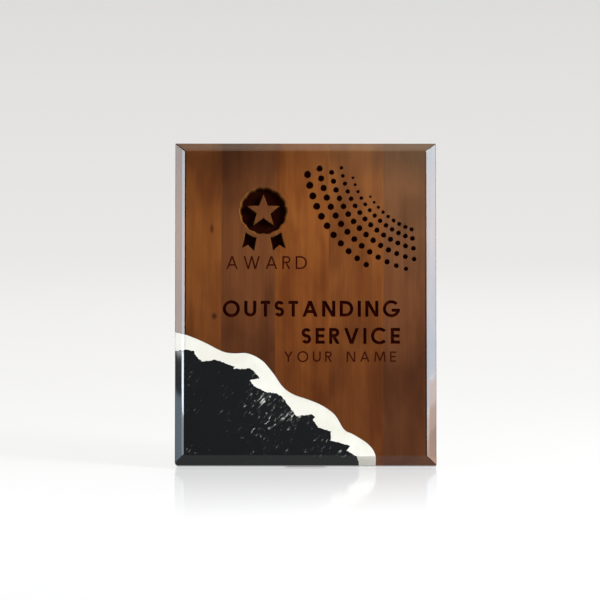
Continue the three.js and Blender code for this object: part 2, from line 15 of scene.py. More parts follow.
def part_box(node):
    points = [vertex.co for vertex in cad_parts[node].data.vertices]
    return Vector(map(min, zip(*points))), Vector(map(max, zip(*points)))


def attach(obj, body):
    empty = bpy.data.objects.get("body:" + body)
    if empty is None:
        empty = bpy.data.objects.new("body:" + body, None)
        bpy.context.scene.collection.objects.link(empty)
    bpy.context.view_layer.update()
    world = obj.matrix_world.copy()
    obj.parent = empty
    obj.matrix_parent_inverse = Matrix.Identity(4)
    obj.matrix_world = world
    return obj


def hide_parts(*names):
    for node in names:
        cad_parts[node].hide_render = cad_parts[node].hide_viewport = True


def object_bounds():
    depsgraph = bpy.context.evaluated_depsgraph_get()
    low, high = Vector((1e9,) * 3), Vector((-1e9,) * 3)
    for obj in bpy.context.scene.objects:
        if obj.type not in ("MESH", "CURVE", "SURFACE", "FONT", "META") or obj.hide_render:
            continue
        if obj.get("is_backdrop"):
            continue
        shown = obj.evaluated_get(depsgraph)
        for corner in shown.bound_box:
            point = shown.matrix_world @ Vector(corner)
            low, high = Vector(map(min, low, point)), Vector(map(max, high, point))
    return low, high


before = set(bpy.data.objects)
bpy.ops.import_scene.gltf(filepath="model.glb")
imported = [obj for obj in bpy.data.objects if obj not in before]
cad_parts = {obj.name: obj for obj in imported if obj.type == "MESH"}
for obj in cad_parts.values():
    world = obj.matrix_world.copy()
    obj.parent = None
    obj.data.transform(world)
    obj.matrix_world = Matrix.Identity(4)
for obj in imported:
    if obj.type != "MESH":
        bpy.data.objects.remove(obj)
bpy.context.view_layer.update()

# ---- Camera ----
# A camera with a long lens, well back in the studio and only a little above the plaque, so that the plaque's
# sides look parallel.
CAMERA_DISTANCE = 4.5  # in metres
CAMERA_RISE = radians(4)
CAMERA_AIM = Vector((-0.0044, -0.005, 0.1297))
LENS = 345.2
SENSOR_WIDTH = 36


def new_object(name, data):
    """An object in the scene."""
    made = bpy.data.objects.new(name, data)
    bpy.context.scene.collection.objects.link(made)
    return made


camera = new_object("camera", bpy.data.cameras.new("camera"))
bpy.context.scene.camera = camera
camera.data.sensor_width = SENSOR_WIDTH
camera.data.lens = LENS
camera.data.clip_end = 200
camera.location = CAMERA_AIM + CAMERA_DISTANCE * Vector((0, -cos(CAMERA_RISE), sin(CAMERA_RISE)))
camera.rotation_euler = (pi / 2 - CAMERA_RISE, 0, 0)
bpy.context.scene.view_settings.view_transform = "Standard"

# ---- Board ----
# Five upright staves of walnut, glued edge to edge, planed and moulded with a bevel all round the face, then
# stained and sprayed with clear gloss lacquer. The arrises are sanded soft before the lacquer goes on.
MM = 0.001
WIDTH = 204
HEIGHT = 253
THICKNESS = 19
LEFT = -WIDTH / 2
FACE = -THICKNESS
BEVEL_SIDE = 7.8
BEVEL_END = 6.9
BEVEL_DEPTH = 5.5
BEVEL_TIP = 0.15  # sanding the arris tips the bevel's inner quarter over by this much
FIRST_STAVE = 36
STAVE_WIDTH = 42
STAVE_COUNT = 5
EDGE_RADIUS = 0.5  # of the sanded arrises and corners
DEEPEST_CUT = 5  # the deepest engraving
LEAN = radians(10)

# The board's frame in the row frame, from where the CAD's last stave has its top back edge.
BOARD = Matrix.Translation(
    (0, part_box(f"stave_{STAVE_COUNT}")[1].y - HEIGHT * MM * sin(LEAN), 0)
) @ Matrix.Rotation(-LEAN, 4, "X")


def linear(srgb):
    """A hex colour as linear red, green, blue and alpha."""
    parts = [int(srgb[i : i + 2], 16) / 255 for i in (1, 3, 5)]
    return [c / 12.92 if c <= 0.04045 else ((c + 0.055) / 1.055) ** 2.4 for c in parts] + [1]


def add(tree, kind, settings, links):
    """Adds a shader node with its settings, or with its operation alone, and sets or links its inputs by name
    or number. A node given as an input stands for its first output, and stops are a colour ramp's positions
    and hex colours."""
    made = tree.nodes.new("ShaderNode" + kind)
    settings = {"operation": settings} if isinstance(settings, str) else settings
    for name, value in settings.items():
        if name != "stops":
            setattr(made, name, value)
            continue
        elements = made.color_ramp.elements
        while len(elements) < len(value):
            elements.new(1)
        for element, (position, colour) in zip(elements, value):
            element.position = position
            element.color = linear(colour)
    for socket, value in links.items():
        if isinstance(value, bpy.types.Node):
            value = value.outputs[0]
        if isinstance(value, bpy.types.NodeSocket):
            tree.links.new(value, made.inputs[socket])
        else:
            made.inputs[socket].default_value = value
    return made


def blank_tree(owner):
    """The node tree of a material or world, emptied."""
    owner.use_nodes = True
    owner.node_tree.nodes.clear()
    return owner.node_tree


def new_material(name, place=BOARD):
    """A material, its empty node tree, and coordinates in millimetres in the board's frame or another."""
    material = bpy.data.materials.new(name)
    tree = blank_tree(material)
    where = add(tree, "TexCoord", {}, {}).outputs["Object"]
    mm = add(tree, "Mapping", {"vector_type": "TEXTURE"}, {
        "Vector": where, "Location": place.to_translation(), "Rotation": place.to_euler(),
        "Scale": (MM, MM, MM),
    })
    return material, tree, mm


def stained_walnut():
    """Walnut, stained and sprayed with gloss lacquer: warm brown staves of different tone, fine upright
    grain, and a clear wet-looking coat over it all."""
    material, tree, mm = new_material("walnut_stained_gloss_lacquer")
    across, depth, up = add(tree, "SeparateXYZ", {}, {0: mm}).outputs
    share = add(tree, "Math", "MULTIPLY_ADD", {0: across, 1: 1 / WIDTH, 2: 0.5})
    height = add(tree, "Math", "DIVIDE", {0: up, 1: HEIGHT})

    # Each stave is a different board, so it has its own tone and its own grain.
    joints = [0] + [(FIRST_STAVE + i * STAVE_WIDTH) / WIDTH for i in range(STAVE_COUNT - 1)]
    tones = list(zip(joints, ["#804a1d", "#6f4120", "#8b501f", "#844d20", "#704425"]))
    tone = add(tree, "ValToRGB", {"stops": tones}, {"Fac": share})
    tone.color_ramp.interpolation = "CONSTANT"
    offset = (WIDTH / 2 - FIRST_STAVE) / STAVE_WIDTH
    stave = add(tree, "Math", "MULTIPLY_ADD", {0: across, 1: 1 / STAVE_WIDTH, 2: offset})
    stave = add(tree, "Math", "FLOOR", {0: stave})
    shift = add(tree, "VectorMath", "SCALE", {0: (31.7, 17.3, 143.9), "Scale": stave})
    grown = add(tree, "VectorMath", "ADD", {0: mm, 1: shift})

    # Grain: bands 6 mm wide that run most of the board's height, streaks 1.1 mm wide and 34 mm long, and
    # patches some 25 mm across where the stain took unevenly.
    shades = []
    for wide, long, detail, dark in ((6, 120, 3, "#efe9e5"), (1.1, 34, 4, "#f4f1ee"), (25, 60, 3, "#d0c5bd")):
        scaled = add(tree, "VectorMath", "MULTIPLY", {0: grown, 1: (1 / wide, 1 / wide, 1 / long)})
        noise = add(tree, "TexNoise", {}, {"Vector": scaled, "Scale": 1, "Detail": detail, "Distortion": 0.3})
        shades.append(add(tree, "ValToRGB", {"stops": [(0.36, dark), (0.62, "#ffffff")]}, {"Fac": noise}))
        if wide < 2:
            fibres = noise

    # Darker towards the foot and the top of the face; painted light makes the bevels of those two ends paler.
    darker_ends_and_painted_bevel_light = [
        (0.02, "#fff0da"), (0.03, "#d6ccc8"), (0.25, "#d2c9c5"), (0.5, "#f6f3f2"), (0.85, "#fdfdfd"),
        (0.967, "#d6d4d2"), (0.975, "#d9e0dc"),
    ]
    darker_ends_and_painted_bevel_light = add(tree, "ValToRGB", {"stops": darker_ends_and_painted_bevel_light}, {"Fac": height})
    darker_ends_and_painted_bevel_light.color_ramp.interpolation = "EASE"
    shades.append(darker_ends_and_painted_bevel_light)

    # Two pin knots, each a dark fleck a few millimetres long, and a smoky patch in the top left corner.
    for x, z, wide, long, dark in (
        (-71.4, 116.4, 2.8, 3.4, "#8c7668"), (-73.3, 185, 2.0, 5.0, "#a3917f"), (-57, 238, 48, 52, "#d6cfc2"),
    ):
        apart = add(tree, "VectorMath", "SUBTRACT", {0: mm, 1: (x, FACE, z)})
        apart = add(tree, "VectorMath", "MULTIPLY", {0: apart, 1: (1 / wide, 0.02, 1 / long)})
        apart = add(tree, "VectorMath", "LENGTH", {0: apart}).outputs["Value"]
        shades.append(add(tree, "ValToRGB", {"stops": [(0.2, dark), (1.0, "#ffffff")]}, {"Fac": apart}))

    # Painted shade: a thin dark line along the two upright arrises and in the mitres of the bevel.
    out = add(tree, "Math", "ABSOLUTE", {0: across})
    out = add(tree, "Math", "MULTIPLY_ADD", {0: out, 1: 1 / BEVEL_SIDE, 2: 1 - WIDTH / 2 / BEVEL_SIDE})
    end = add(tree, "Math", "SUBTRACT", {0: up, 1: HEIGHT / 2})
    end = add(tree, "Math", "ABSOLUTE", {0: end})
    end = add(tree, "Math", "MULTIPLY_ADD", {0: end, 1: 1 / BEVEL_END, 2: 1 - HEIGHT / 2 / BEVEL_END})
    # Neither shows on the back, and the arris lines stop at the end bevels.
    behind = add(tree, "Math", "GREATER_THAN", {0: depth, 1: FACE / 2})
    beyond = add(tree, "Math", "GREATER_THAN", {0: end, 1: 0.0})
    elsewhere = add(tree, "Math", "ADD", {0: behind, 1: beyond})
    # Where the painted shade line along the arrises falls.
    inside = add(tree, "MapRange", {}, {0: out, 1: -0.25, 2: 0.25, 3: 0.0, 4: 1.0})
    inside = add(tree, "Math", "ADD", {0: inside, 1: elsewhere})
    arris_painted_shade = [(0.26, "#ffffff"), (0.38, "#4a3428"), (0.49, "#3c2a20"), (0.52, "#ffffff")]
    shades.append(add(tree, "ValToRGB", {"stops": arris_painted_shade}, {"Fac": inside}))
    mitre_shade_mask = add(tree, "Math", "SUBTRACT", {0: out, 1: end})
    mitre_shade_mask = add(tree, "Math", "ABSOLUTE", {0: mitre_shade_mask})
    flat = add(tree, "Math", "LESS_THAN", {0: out, 1: 0.02})
    elsewhere = add(tree, "Math", "ADD", {0: behind, 1: flat})
    mitre_shade_mask = add(tree, "Math", "ADD", {0: mitre_shade_mask, 1: elsewhere})
    mitre_painted_shade = [(0.05, "#4a3428"), (0.11, "#ffffff")]
    shades.append(add(tree, "ValToRGB", {"stops": mitre_painted_shade}, {"Fac": mitre_shade_mask}))

    colour = tone.outputs[0]
    for shade in shades:
        mixed = add(tree, "Mix", {"data_type": "RGBA", "blend_type": "MULTIPLY"}, {0: 1, 6: colour, 7: shade})
        colour = mixed.outputs[2]

    # Painted reflection: grey is added towards the top right corner, for something pale mirrored in the
    # lacquer there.
    corner = add(tree, "Math", "ADD", {0: share, 1: height})
    corner = add(tree, "MapRange", {}, {0: corner, 1: 1.4, 2: 1.94, 3: 0.0, 4: 1.0})
    mixed = add(tree, "Mix", {"data_type": "RGBA", "blend_type": "ADD"}, {
        0: corner, 6: colour, 7: linear("#3c3527"),
    })

    # The lacquer lies nearly flat, with a faint ripple every 9 mm or so.
    ripple = add(tree, "TexNoise", {}, {"Vector": mm, "Scale": 1 / 9, "Detail": 1})
    ripple = add(tree, "Bump", {}, {"Height": ripple, "Strength": 0.15, "Distance": 0.02 * MM})
    pores = add(tree, "Bump", {}, {"Height": fibres, "Strength": 0.3, "Distance": 0.03 * MM})
    shader = add(tree, "BsdfPrincipled", {}, {
        "Base Color": mixed.outputs[2], "Roughness": 0.5, "Specular IOR Level": 0.1, "Normal": pores,
        "Coat Weight": 1.0, "Coat Roughness": 0.04, "Coat IOR": 1.5, "Coat Normal": ripple,
    })
    add(tree, "OutputMaterial", {}, {"Surface": shader})
    return material


def burnt_walnut(name, rim, middle, deep):
    """Walnut burnt away by the engraving laser: matt and sooty red-brown, darker the deeper it goes, partly
    as char and partly as painted shade in the cut.
    """
    material, tree, mm = new_material(name)
    depth = add(tree, "SeparateXYZ", {}, {0: mm}).outputs["Y"]
    # Darker with depth: partly the laser's char, partly painted shade down in the cut.
    depth_for_char_and_painted_shade = add(tree, "MapRange", {}, {0: depth, 1: FACE, 2: FACE + DEEPEST_CUT, 3: 0.0, 4: 1.0})
    colour = add(tree, "ValToRGB", {"stops": [(0, rim), (0.36, middle), (1, deep)]}, {"Fac": depth_for_char_and_painted_shade})
    soot = add(tree, "TexNoise", {}, {"Vector": mm, "Scale": 1 / 1.2, "Detail": 3})
    sooted = add(tree, "ValToRGB", {"stops": [(0.35, "#c8c8c8"), (0.7, "#ffffff")]}, {"Fac": soot})
    mixed = add(tree, "Mix", {"data_type": "RGBA", "blend_type": "MULTIPLY"}, {0: 1, 6: colour, 7: sooted})
    scratch = add(tree, "Bump", {}, {"Height": soot, "Strength": 0.5, "Distance": 0.15 * MM})
    shader = add(tree, "BsdfPrincipled", {}, {
        "Base Color": mixed.outputs[2], "Roughness": 0.95, "Specular IOR Level": 0.04, "Normal": scratch,
    })
    add(tree, "OutputMaterial", {}, {"Surface": shader})
    return material


def routed_walnut():
    """Walnut as a router leaves it: bare, paler and fuzzy, with the grain still showing."""
    material, tree, mm = new_material("walnut_routed_bare")
    fibres = add(tree, "VectorMath", "MULTIPLY", {0: mm, 1: (1 / 0.8, 1 / 0.8, 1 / 14)})
    fibre = add(tree, "TexNoise", {}, {"Vector": fibres, "Scale": 1, "Detail": 4})
    colour = add(tree, "ValToRGB", {"stops": [(0.3, "#6b4a33"), (0.7, "#94704f")]}, {"Fac": fibre})
    fuzz = add(tree, "Bump", {}, {"Height": fibre, "Strength": 0.6, "Distance": 0.1 * MM})
    shader = add(tree, "BsdfPrincipled", {}, {
        "Base Color": colour, "Roughness": 0.8, "Specular IOR Level": 0.2, "Normal": fuzz,
    })
    add(tree, "OutputMaterial", {}, {"Surface": shader})
    return material


WOOD = [
    stained_walnut(),
    burnt_walnut("walnut_laser_charred", "#44150a", "#380c03", "#240500"),
    burnt_walnut("walnut_laser_scorched", "#9c682c", "#6e431a", "#2c0e03"),
    routed_walnut(),
]
LACQUERED, CHARRED, SCORCHED, ROUTED = range(4)


def piece(name, drawn, materials, finish=LACQUERED):
    """A new object from a bmesh drawn in millimetres. It lies in its own frame until it is set up."""
    mesh = bpy.data.meshes.new(name)
    bmesh.ops.scale(drawn, vec=(MM, MM, MM), verts=drawn.verts)
    bmesh.ops.recalc_face_normals(drawn, faces=drawn.faces)
    drawn.to_mesh(mesh)
    drawn.free()
    for material in materials:
        mesh.materials.append(material)
    if finish is not None:
        for face in mesh.polygons:
            face.material_index = finish
    return new_object(name, mesh)


def discard(thing):
    """Removes a tool that is done with."""
    mesh = thing.data
    bpy.data.objects.remove(thing)
    bpy.data.meshes.remove(mesh)


def settle(target):
    """Takes an object's modifiers into its mesh."""
    graph = bpy.context.evaluated_depsgraph_get()
    mesh = bpy.data.meshes.new_from_object(target.evaluated_get(graph), depsgraph=graph)
    old = target.data
    target.modifiers.clear()
    target.data = mesh
    mesh.name = old.name
    bpy.data.meshes.remove(old)


def cut(target, cutter, operation="DIFFERENCE", keep=False):
    """Cuts a piece with a tool, or keeps only what lies inside the tool."""
    bpy.context.view_layer.update()
    tool = target.modifiers.new("cut", "BOOLEAN")
    tool.operation = operation
    tool.object = cutter
    tool.solver = "EXACT"
    settle(target)
    if not keep:
        discard(cutter)


def set_up(target, body, stands_for, place=BOARD, angle=25):
    """Shades a finished piece with crisp corners and flat faces, and fixes it in place on its body."""
    target.data.shade_smooth()
    target.data.set_sharp_from_angle(angle=radians(angle))
    weigh = target.modifiers.new("flat_faces_stay_flat", "WEIGHTED_NORMAL")
    weigh.keep_sharp = True
    settle(target)
    target.data.transform(place)
    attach(target, body)
    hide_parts(stands_for)


def eased_line(corners, steps=4):
    """A line through (across, along, trim) corners, each corner rounded over its trim."""
    line = []
    for i, (across, along, trim) in enumerate(corners):
        corner = Vector((across, along))
        if not trim:
            line.append(corner)
            continue
        start, end = (
            corner + (Vector(corners[k][:2]) - corner).normalized() * trim for k in (i - 1, i + 1)
        )
        for k in range(steps + 1):
            t = k / steps
            line.append(start * (1 - t) ** 2 + corner * 2 * t * (1 - t) + end * t * t)
    return line


def skin(mesh, rings):
    """Joins rings of points, each to the next, and closes both ends."""
    for inner, outer in zip(rings, rings[1:]):
        for k in range(len(inner)):
            mesh.faces.new((inner[k - 1], inner[k], outer[k], outer[k - 1]))
    mesh.faces.new(rings[0])
    mesh.faces.new(rings[-1])


def board_blank(name, materials, face_trim, foot_radius):
    """The whole moulded board: rounded rectangles from the back, round the edge and up the bevel to the
    face. The corner at the foot of the resin may be rounder than the rest."""
    shoulder = FACE + BEVEL_DEPTH
    slope = Vector((BEVEL_SIDE, -BEVEL_DEPTH)).normalized()
    crown = []
    for up, tip in ((0.35, 0.5), (0.7, 1.0), (0.74, 1.0), (0.9, 0.38)):
        bulge = tip * BEVEL_TIP
        crown.append((BEVEL_SIDE * up + slope.y * bulge, shoulder - BEVEL_DEPTH * up - slope.x * bulge, 0))
    inland = 16
    profile = eased_line([
        (inland, 0, 0), (0, 0, EDGE_RADIUS), (0, shoulder, 0.6), *crown, (BEVEL_SIDE, FACE, face_trim),
        (inland, FACE, 0),
    ])
    mesh = bmesh.new()
    rings = []
    for inset, y in profile:
        right, low = WIDTH / 2 - inset, inset * BEVEL_END / BEVEL_SIDE
        high = HEIGHT - low
        ring = []
        for x, z, quarter in ((-right, low, 2), (right, low, 3), (right, high, 0), (-right, high, 1)):
            radius = foot_radius if quarter == 2 else EDGE_RADIUS
            for k in range(6):
                turn = (quarter + k / 5) * pi / 2
                ring.append(mesh.verts.new((
                    x + radius * (cos(turn) - copysign(1, x)), y,
                    z + radius * (sin(turn) - (1 if z > HEIGHT / 2 else -1)),
                )))
        rings.append(ring)
    skin(mesh, rings)
    return piece(name, mesh, materials)


def prism(outlines, front, back, materials, finish=0, taper=1.0, walls=None, name="cutter"):
    """Outlines drawn across and up the board, made solid from one depth to another. The far end is the near
    end times the taper, and the walls may have a finish of their own."""
    mesh = bmesh.new()
    for outline in outlines:
        centre = sum((Vector(point) for point in outline), Vector((0, 0))) / len(outline)
        near = [mesh.verts.new((x, front, z)) for x, z in outline]
        tapered = [centre.lerp(Vector(point), taper) for point in outline]
        far = [mesh.verts.new((x, back, z)) for x, z in tapered]
        for cap in (near, far):
            mesh.faces.new(cap).material_index = finish
        for k in range(len(near)):
            side = mesh.faces.new((near[k - 1], near[k], far[k], far[k - 1]))
            side.material_index = finish if walls is None else walls
    return piece(name, mesh, materials, None)


def rectangle(left, right, low, high):
    return [(left, low), (right, low), (right, high), (left, high)]


def arc(x, z, radius, turns):
    """Points round a centre, at each of the turns."""
    return [(x + radius * cos(t), z + radius * sin(t)) for t in turns]


OVERCUT = 1  # how far a tool runs past the face that it goes in by
stave_edges = [LEFT + FIRST_STAVE + i * STAVE_WIDTH for i in range(STAVE_COUNT - 1)]
stave_edges = [LEFT - OVERCUT, *stave_edges, -LEFT + OVERCUT]
staves = []
for number, (left, right) in enumerate(zip(stave_edges, stave_edges[1:]), 1):
    stave = board_blank(f"walnut_stave_{number}", WOOD, EDGE_RADIUS, EDGE_RADIUS)
    saw = prism([rectangle(left, right, -OVERCUT, HEIGHT + OVERCUT)], FACE - OVERCUT, OVERCUT, WOOD)
    cut(stave, saw, "INTERSECT")
    staves.append(stave)

# ---- Cast corner ----
# The lower left corner is epoxy, cast in two pours: black with pale flecks, and ivory white between it and
# the wood. It is cast onto the board's wavy sawn edge, then moulded, sanded and polished flush with it.
POUR_EDGE = [
    (-6, 106), (7, 102.5), (22, 96.5), (37, 89), (46, 87.4), (57, 87.3), (68, 81.8), (77, 71.5), (84, 61.5),
    (92, 55.5), (104, 51.2), (115, 46.5), (125, 39), (132, 27.8), (139.5, 23.8), (150, 17), (156, 9),
    (156.4, 0), (156.4, -6),
]
TORN_EDGE = [
    (-6, 88.5), (1, 89.5), (8, 90.4), (15, 88.8), (16.8, 84.6), (21.3, 80.8), (31.6, 82.3), (40.8, 79),
    (46.8, 76.6), (45.4, 75.2), (54.6, 74.8), (57.4, 75.8), (61.8, 73.6), (66.2, 67.4), (58.2, 66),
    (61.6, 61.6), (70.6, 57), (78.8, 56), (83.4, 53.4), (90.2, 44.4), (95, 38.2), (102.6, 39),
    (106.4, 39.6), (109.2, 37.6), (107.6, 35), (112, 28.8), (121.8, 26.4), (121.2, 19), (130.2, 16.8),
    (136.6, 15), (134, 11), (138, 9), (142, 6.6), (143.4, 2.6), (143.6, -6),
]
SHRINKAGE = 0.2  # the hairline that opens along the wood as the epoxy cures
TEAR = 0.35  # how far the torn edge wanders off its line
RESIN_CORNER = 2.4  # the radius that the polished corner is worn to


def from_corner(outline):
    """An outline drawn from the board's lower left corner, moved into the board's frame."""
    return [(LEFT + x, z) for x, z in outline]


def flowing(points, steps=5):
    """A smooth line through the points."""
    ends = [Vector(points[0]), *map(Vector, points), Vector(points[-1])]
    line = []
    for a, b, c, d in zip(ends, ends[1:], ends[2:], ends[3:]):
        for k in range(steps):
            t = k / steps
            line.append(0.5 * (
                2 * b + (c - a) * t + (2 * a - 5 * b + 4 * c - d) * t ** 2 + (3 * b - a - 3 * c + d) * t ** 3
            ))
    return line + [Vector(points[-1])]


def torn(points, spacing=1.1):
    """A ragged line through the points, the same at every run."""
    chance = random.Random(11)
    line = []
    for a, b in zip(map(Vector, points), map(Vector, points[1:])):
        count = max(1, round((b - a).length / spacing))
        for k in range(count):
            line.append(a.lerp(b, k / count) + TEAR * Vector((chance.uniform(-1, 1), chance.uniform(-1, 1))))
    return line + [Vector(points[-1])]


def pour(line, materials):
    """Everything below and to the left of a line, through the whole board."""
    outline = [(line[0].x, line[-1].y), *line]
    return prism([from_corner(outline)], FACE - OVERCUT, OVERCUT, materials)


def polished_skin(tree, mm, colour, sheen, wave, relief):
    """The polished skin of both pours: gloss over the pigment, with a faint wave every 11 mm."""
    waves = add(tree, "TexNoise", {}, {"Vector": mm, "Scale": 1 / 11, "Detail": 1})
    waves = add(tree, "Bump", {}, {"Height": waves, "Strength": wave, "Distance": relief * MM})
    shader = add(tree, "BsdfPrincipled", {}, {
        "Base Color": colour, "Roughness": 0.4, "Specular IOR Level": sheen, "Normal": waves,
        "Coat Weight": 1.0, "Coat Roughness": 0.04, "Coat IOR": 1.5, "Coat Normal": waves,
    })
    add(tree, "OutputMaterial", {}, {"Surface": shader})


def white_epoxy():
    """Epoxy cast with white pigment and polished: ivory, faintly clouded, glossy."""
    material, tree, mm = new_material("epoxy_cast_ivory_polished")
    cloud = add(tree, "TexNoise", {}, {"Vector": mm, "Scale": 1 / 22, "Detail": 2, "Distortion": 0.6})
    colour = add(tree, "ValToRGB", {"stops": [(0.35, "#e8e4d7"), (0.65, "#f1eee4")]}, {"Fac": cloud})
    polished_skin(tree, mm, colour, 0.1, 0.15, 0.02)
    return material


def black_epoxy():
    """Epoxy cast with black pigment: near black and glossy, with white dragged into it as flecks and
    wisps."""
    material, tree, mm = new_material("epoxy_cast_black_flecked")
    # Wisps some 2 mm by 6 mm lie on a slant, where the pour was dragged up and to the right.
    slant = add(tree, "VectorRotate", {"rotation_type": "Y_AXIS"}, {"Vector": mm, "Angle": radians(-42)})
    wisps = add(tree, "VectorMath", "MULTIPLY", {0: slant, 1: (1 / 1.9, 1 / 6, 1 / 5.5)})
    wisp = add(tree, "TexNoise", {}, {
        "Vector": wisps, "Scale": 1, "Detail": 5, "Roughness": 0.66, "Distortion": 0.5,
    })
    drift = add(tree, "TexNoise", {}, {"Vector": mm, "Scale": 1 / 20, "Detail": 1})
    # They crowd about one place near the torn edge, and the polished bevel has cut most of them away.
    apart = add(tree, "VectorMath", "SUBTRACT", {0: mm, 1: (LEFT + 84, FACE, 42)})
    apart = add(tree, "VectorMath", "MULTIPLY", {0: apart, 1: (1 / 66, 0, 1 / 48)})
    apart = add(tree, "VectorMath", "LENGTH", {0: apart}).outputs["Value"]
    crowded = add(tree, "MapRange", {}, {0: apart, 1: 0.1, 2: 1.0, 3: 0.045, 4: -0.075})
    depth = add(tree, "SeparateXYZ", {}, {0: mm}).outputs["Y"]
    bevelled = add(tree, "MapRange", {}, {0: depth, 1: FACE + 0.3, 2: FACE + 1.5, 3: 0.0, 4: -0.12})
    some = add(tree, "Math", "MULTIPLY_ADD", {0: drift, 1: 0.34, 2: crowded})
    some = add(tree, "Math", "ADD", {0: some, 1: bevelled})
    some = add(tree, "Math", "ADD", {0: some, 1: wisp})
    flecks = [(0.0, "#15171a"), (0.75, "#1a1b1c"), (0.81, "#484846"), (0.86, "#cccbc4")]
    colour = add(tree, "ValToRGB", {"stops": flecks}, {"Fac": some})
    polished_skin(tree, mm, colour, 0.06, 0.2, 0.03)
    return material


RESIN = [white_epoxy(), black_epoxy()]
wood_line, resin_line = flowing(POUR_EDGE), torn(TORN_EDGE)
for stave in staves[:4]:
    cut(stave, pour(wood_line, WOOD))
white_pour = board_blank("white_resin_cast", RESIN[:1], 0.6, RESIN_CORNER)
shrunk = [point - Vector((SHRINKAGE, SHRINKAGE)) for point in wood_line]
cut(white_pour, pour(shrunk, RESIN[:1]), "INTERSECT")
cut(white_pour, pour(resin_line, RESIN[:1]))
black_pour = board_blank("black_resin_cast", RESIN[1:], 1.0, RESIN_CORNER)
cut(black_pour, pour(resin_line, RESIN[1:]), "INTERSECT")
for poured, shade in ((white_pour, "white"), (black_pour, "black")):
    set_up(poured, "plaque", f"{shade}_resin_pour")

# ---- Engraving ----
# Burnt into the finished face by laser: a deep rosette, a fan of round dots, a bold title, and two fine lines
# of lettering. The walls and floors of the cuts char.
DOT_DEPTH = 3.5
TITLE_DEPTH = 1.8
FINE_DEPTH = 0.45


def engrave(tool):
    """Cuts a tool into every stave that it reaches."""
    reach = [vertex.co.x / MM for vertex in tool.data.vertices]
    for stave, left, right in zip(staves, stave_edges, stave_edges[1:]):
        if left < max(reach) and min(reach) < right:
            cut(stave, tool, keep=True)
    discard(tool)


def burner(outlines, depth, taper=1.0, walls=CHARRED):
    """A tool that burns outlines to one depth below the face."""
    drawn = [from_corner(outline) for outline in outlines]
    return prism(drawn, FACE - OVERCUT, FACE + depth, WOOD, CHARRED, taper, walls)


def circle(x, z, radius, sides=28):
    return arc(x, z, radius, [2 * pi * k / sides for k in range(sides)])


# The fan: arcs about a point by the top right corner, that shrink towards it in one ratio. Each arc's dots
# are largest where a band slants across it.
FAN_X, FAN_Z, FAN_RADIUS = 205, 243, 102.6
FAN_RATIO = 0.9035
DOTS_A_TURN = 74
LARGEST_DOT = 5.9
BAND_START, BAND_SLANT, BAND_FADE = 193, 13, 0.0007  # degrees, degrees an arc, and millimetres lost off it
FAN_ARCS = [(188.5, 11), (186.5, 15), (189.3, 15), (187.5, 15), (195, 13), (212, 9)]  # first angle and dots

fan = []
for i, (first, count) in enumerate(FAN_ARCS):
    shrink = FAN_RATIO ** i
    radius = FAN_RADIUS * shrink
    for k in range(count):
        angle = first + k * 360 / DOTS_A_TURN
        diameter = LARGEST_DOT * shrink - BAND_FADE * (angle - BAND_START - BAND_SLANT * i) ** 2
        turn = radians(angle)
        fan.append(circle(FAN_X + radius * cos(turn), FAN_Z + radius * sin(turn), diameter / 2))
engrave(burner(fan, DOT_DEPTH, 0.92, SCORCHED))

# The rosette: a scalloped disc round a raised star, over two ribbon tails.
ROSETTE_X, ROSETTE_Z = 69, 199
DISC_RADIUS, SCALLOPS, SCALLOP_DEPTH = 18.6, 14, 0.9
STAR_RADIUS, STAR_WAIST = 12, 5
RIBBON_TAIL = ((2, -8), (13, -12), (18, -30), (12.5, -27), (7, -32))
RIBBON_GAP = 21.1  # the radius that the tails start at, clear of the disc


def round_rosette(radius_at, steps):
    turns = [2 * pi * k / steps for k in range(steps)]
    return [(ROSETTE_X + radius_at(t) * sin(t), ROSETTE_Z + radius_at(t) * cos(t)) for t in turns]


scalloped = round_rosette(
    lambda t: DISC_RADIUS + SCALLOP_DEPTH * abs(sin(SCALLOPS / 2 * t)), 12 * SCALLOPS
)
disc = burner([scalloped], DEEPEST_CUT, 0.89, SCORCHED)
pointed = round_rosette(lambda t: STAR_WAIST if round(t * 5 / pi) % 2 else STAR_RADIUS, 10)
past = FACE + DEEPEST_CUT + OVERCUT
star = prism([from_corner(pointed)], FACE - 2 * OVERCUT, past, WOOD, CHARRED, 1.2, SCORCHED)
cut(disc, star)
engrave(disc)
tails = [[(ROSETTE_X + side * x, ROSETTE_Z + z) for x, z in RIBBON_TAIL] for side in (-1, 1)]
tails = burner(tails, DEEPEST_CUT, 0.8, SCORCHED)
clear = from_corner(circle(ROSETTE_X, ROSETTE_Z, RIBBON_GAP, 72))
cut(tails, prism([clear], FACE - 2 * OVERCUT, past, WOOD, CHARRED, 1.05, SCORCHED))
engrave(tails)


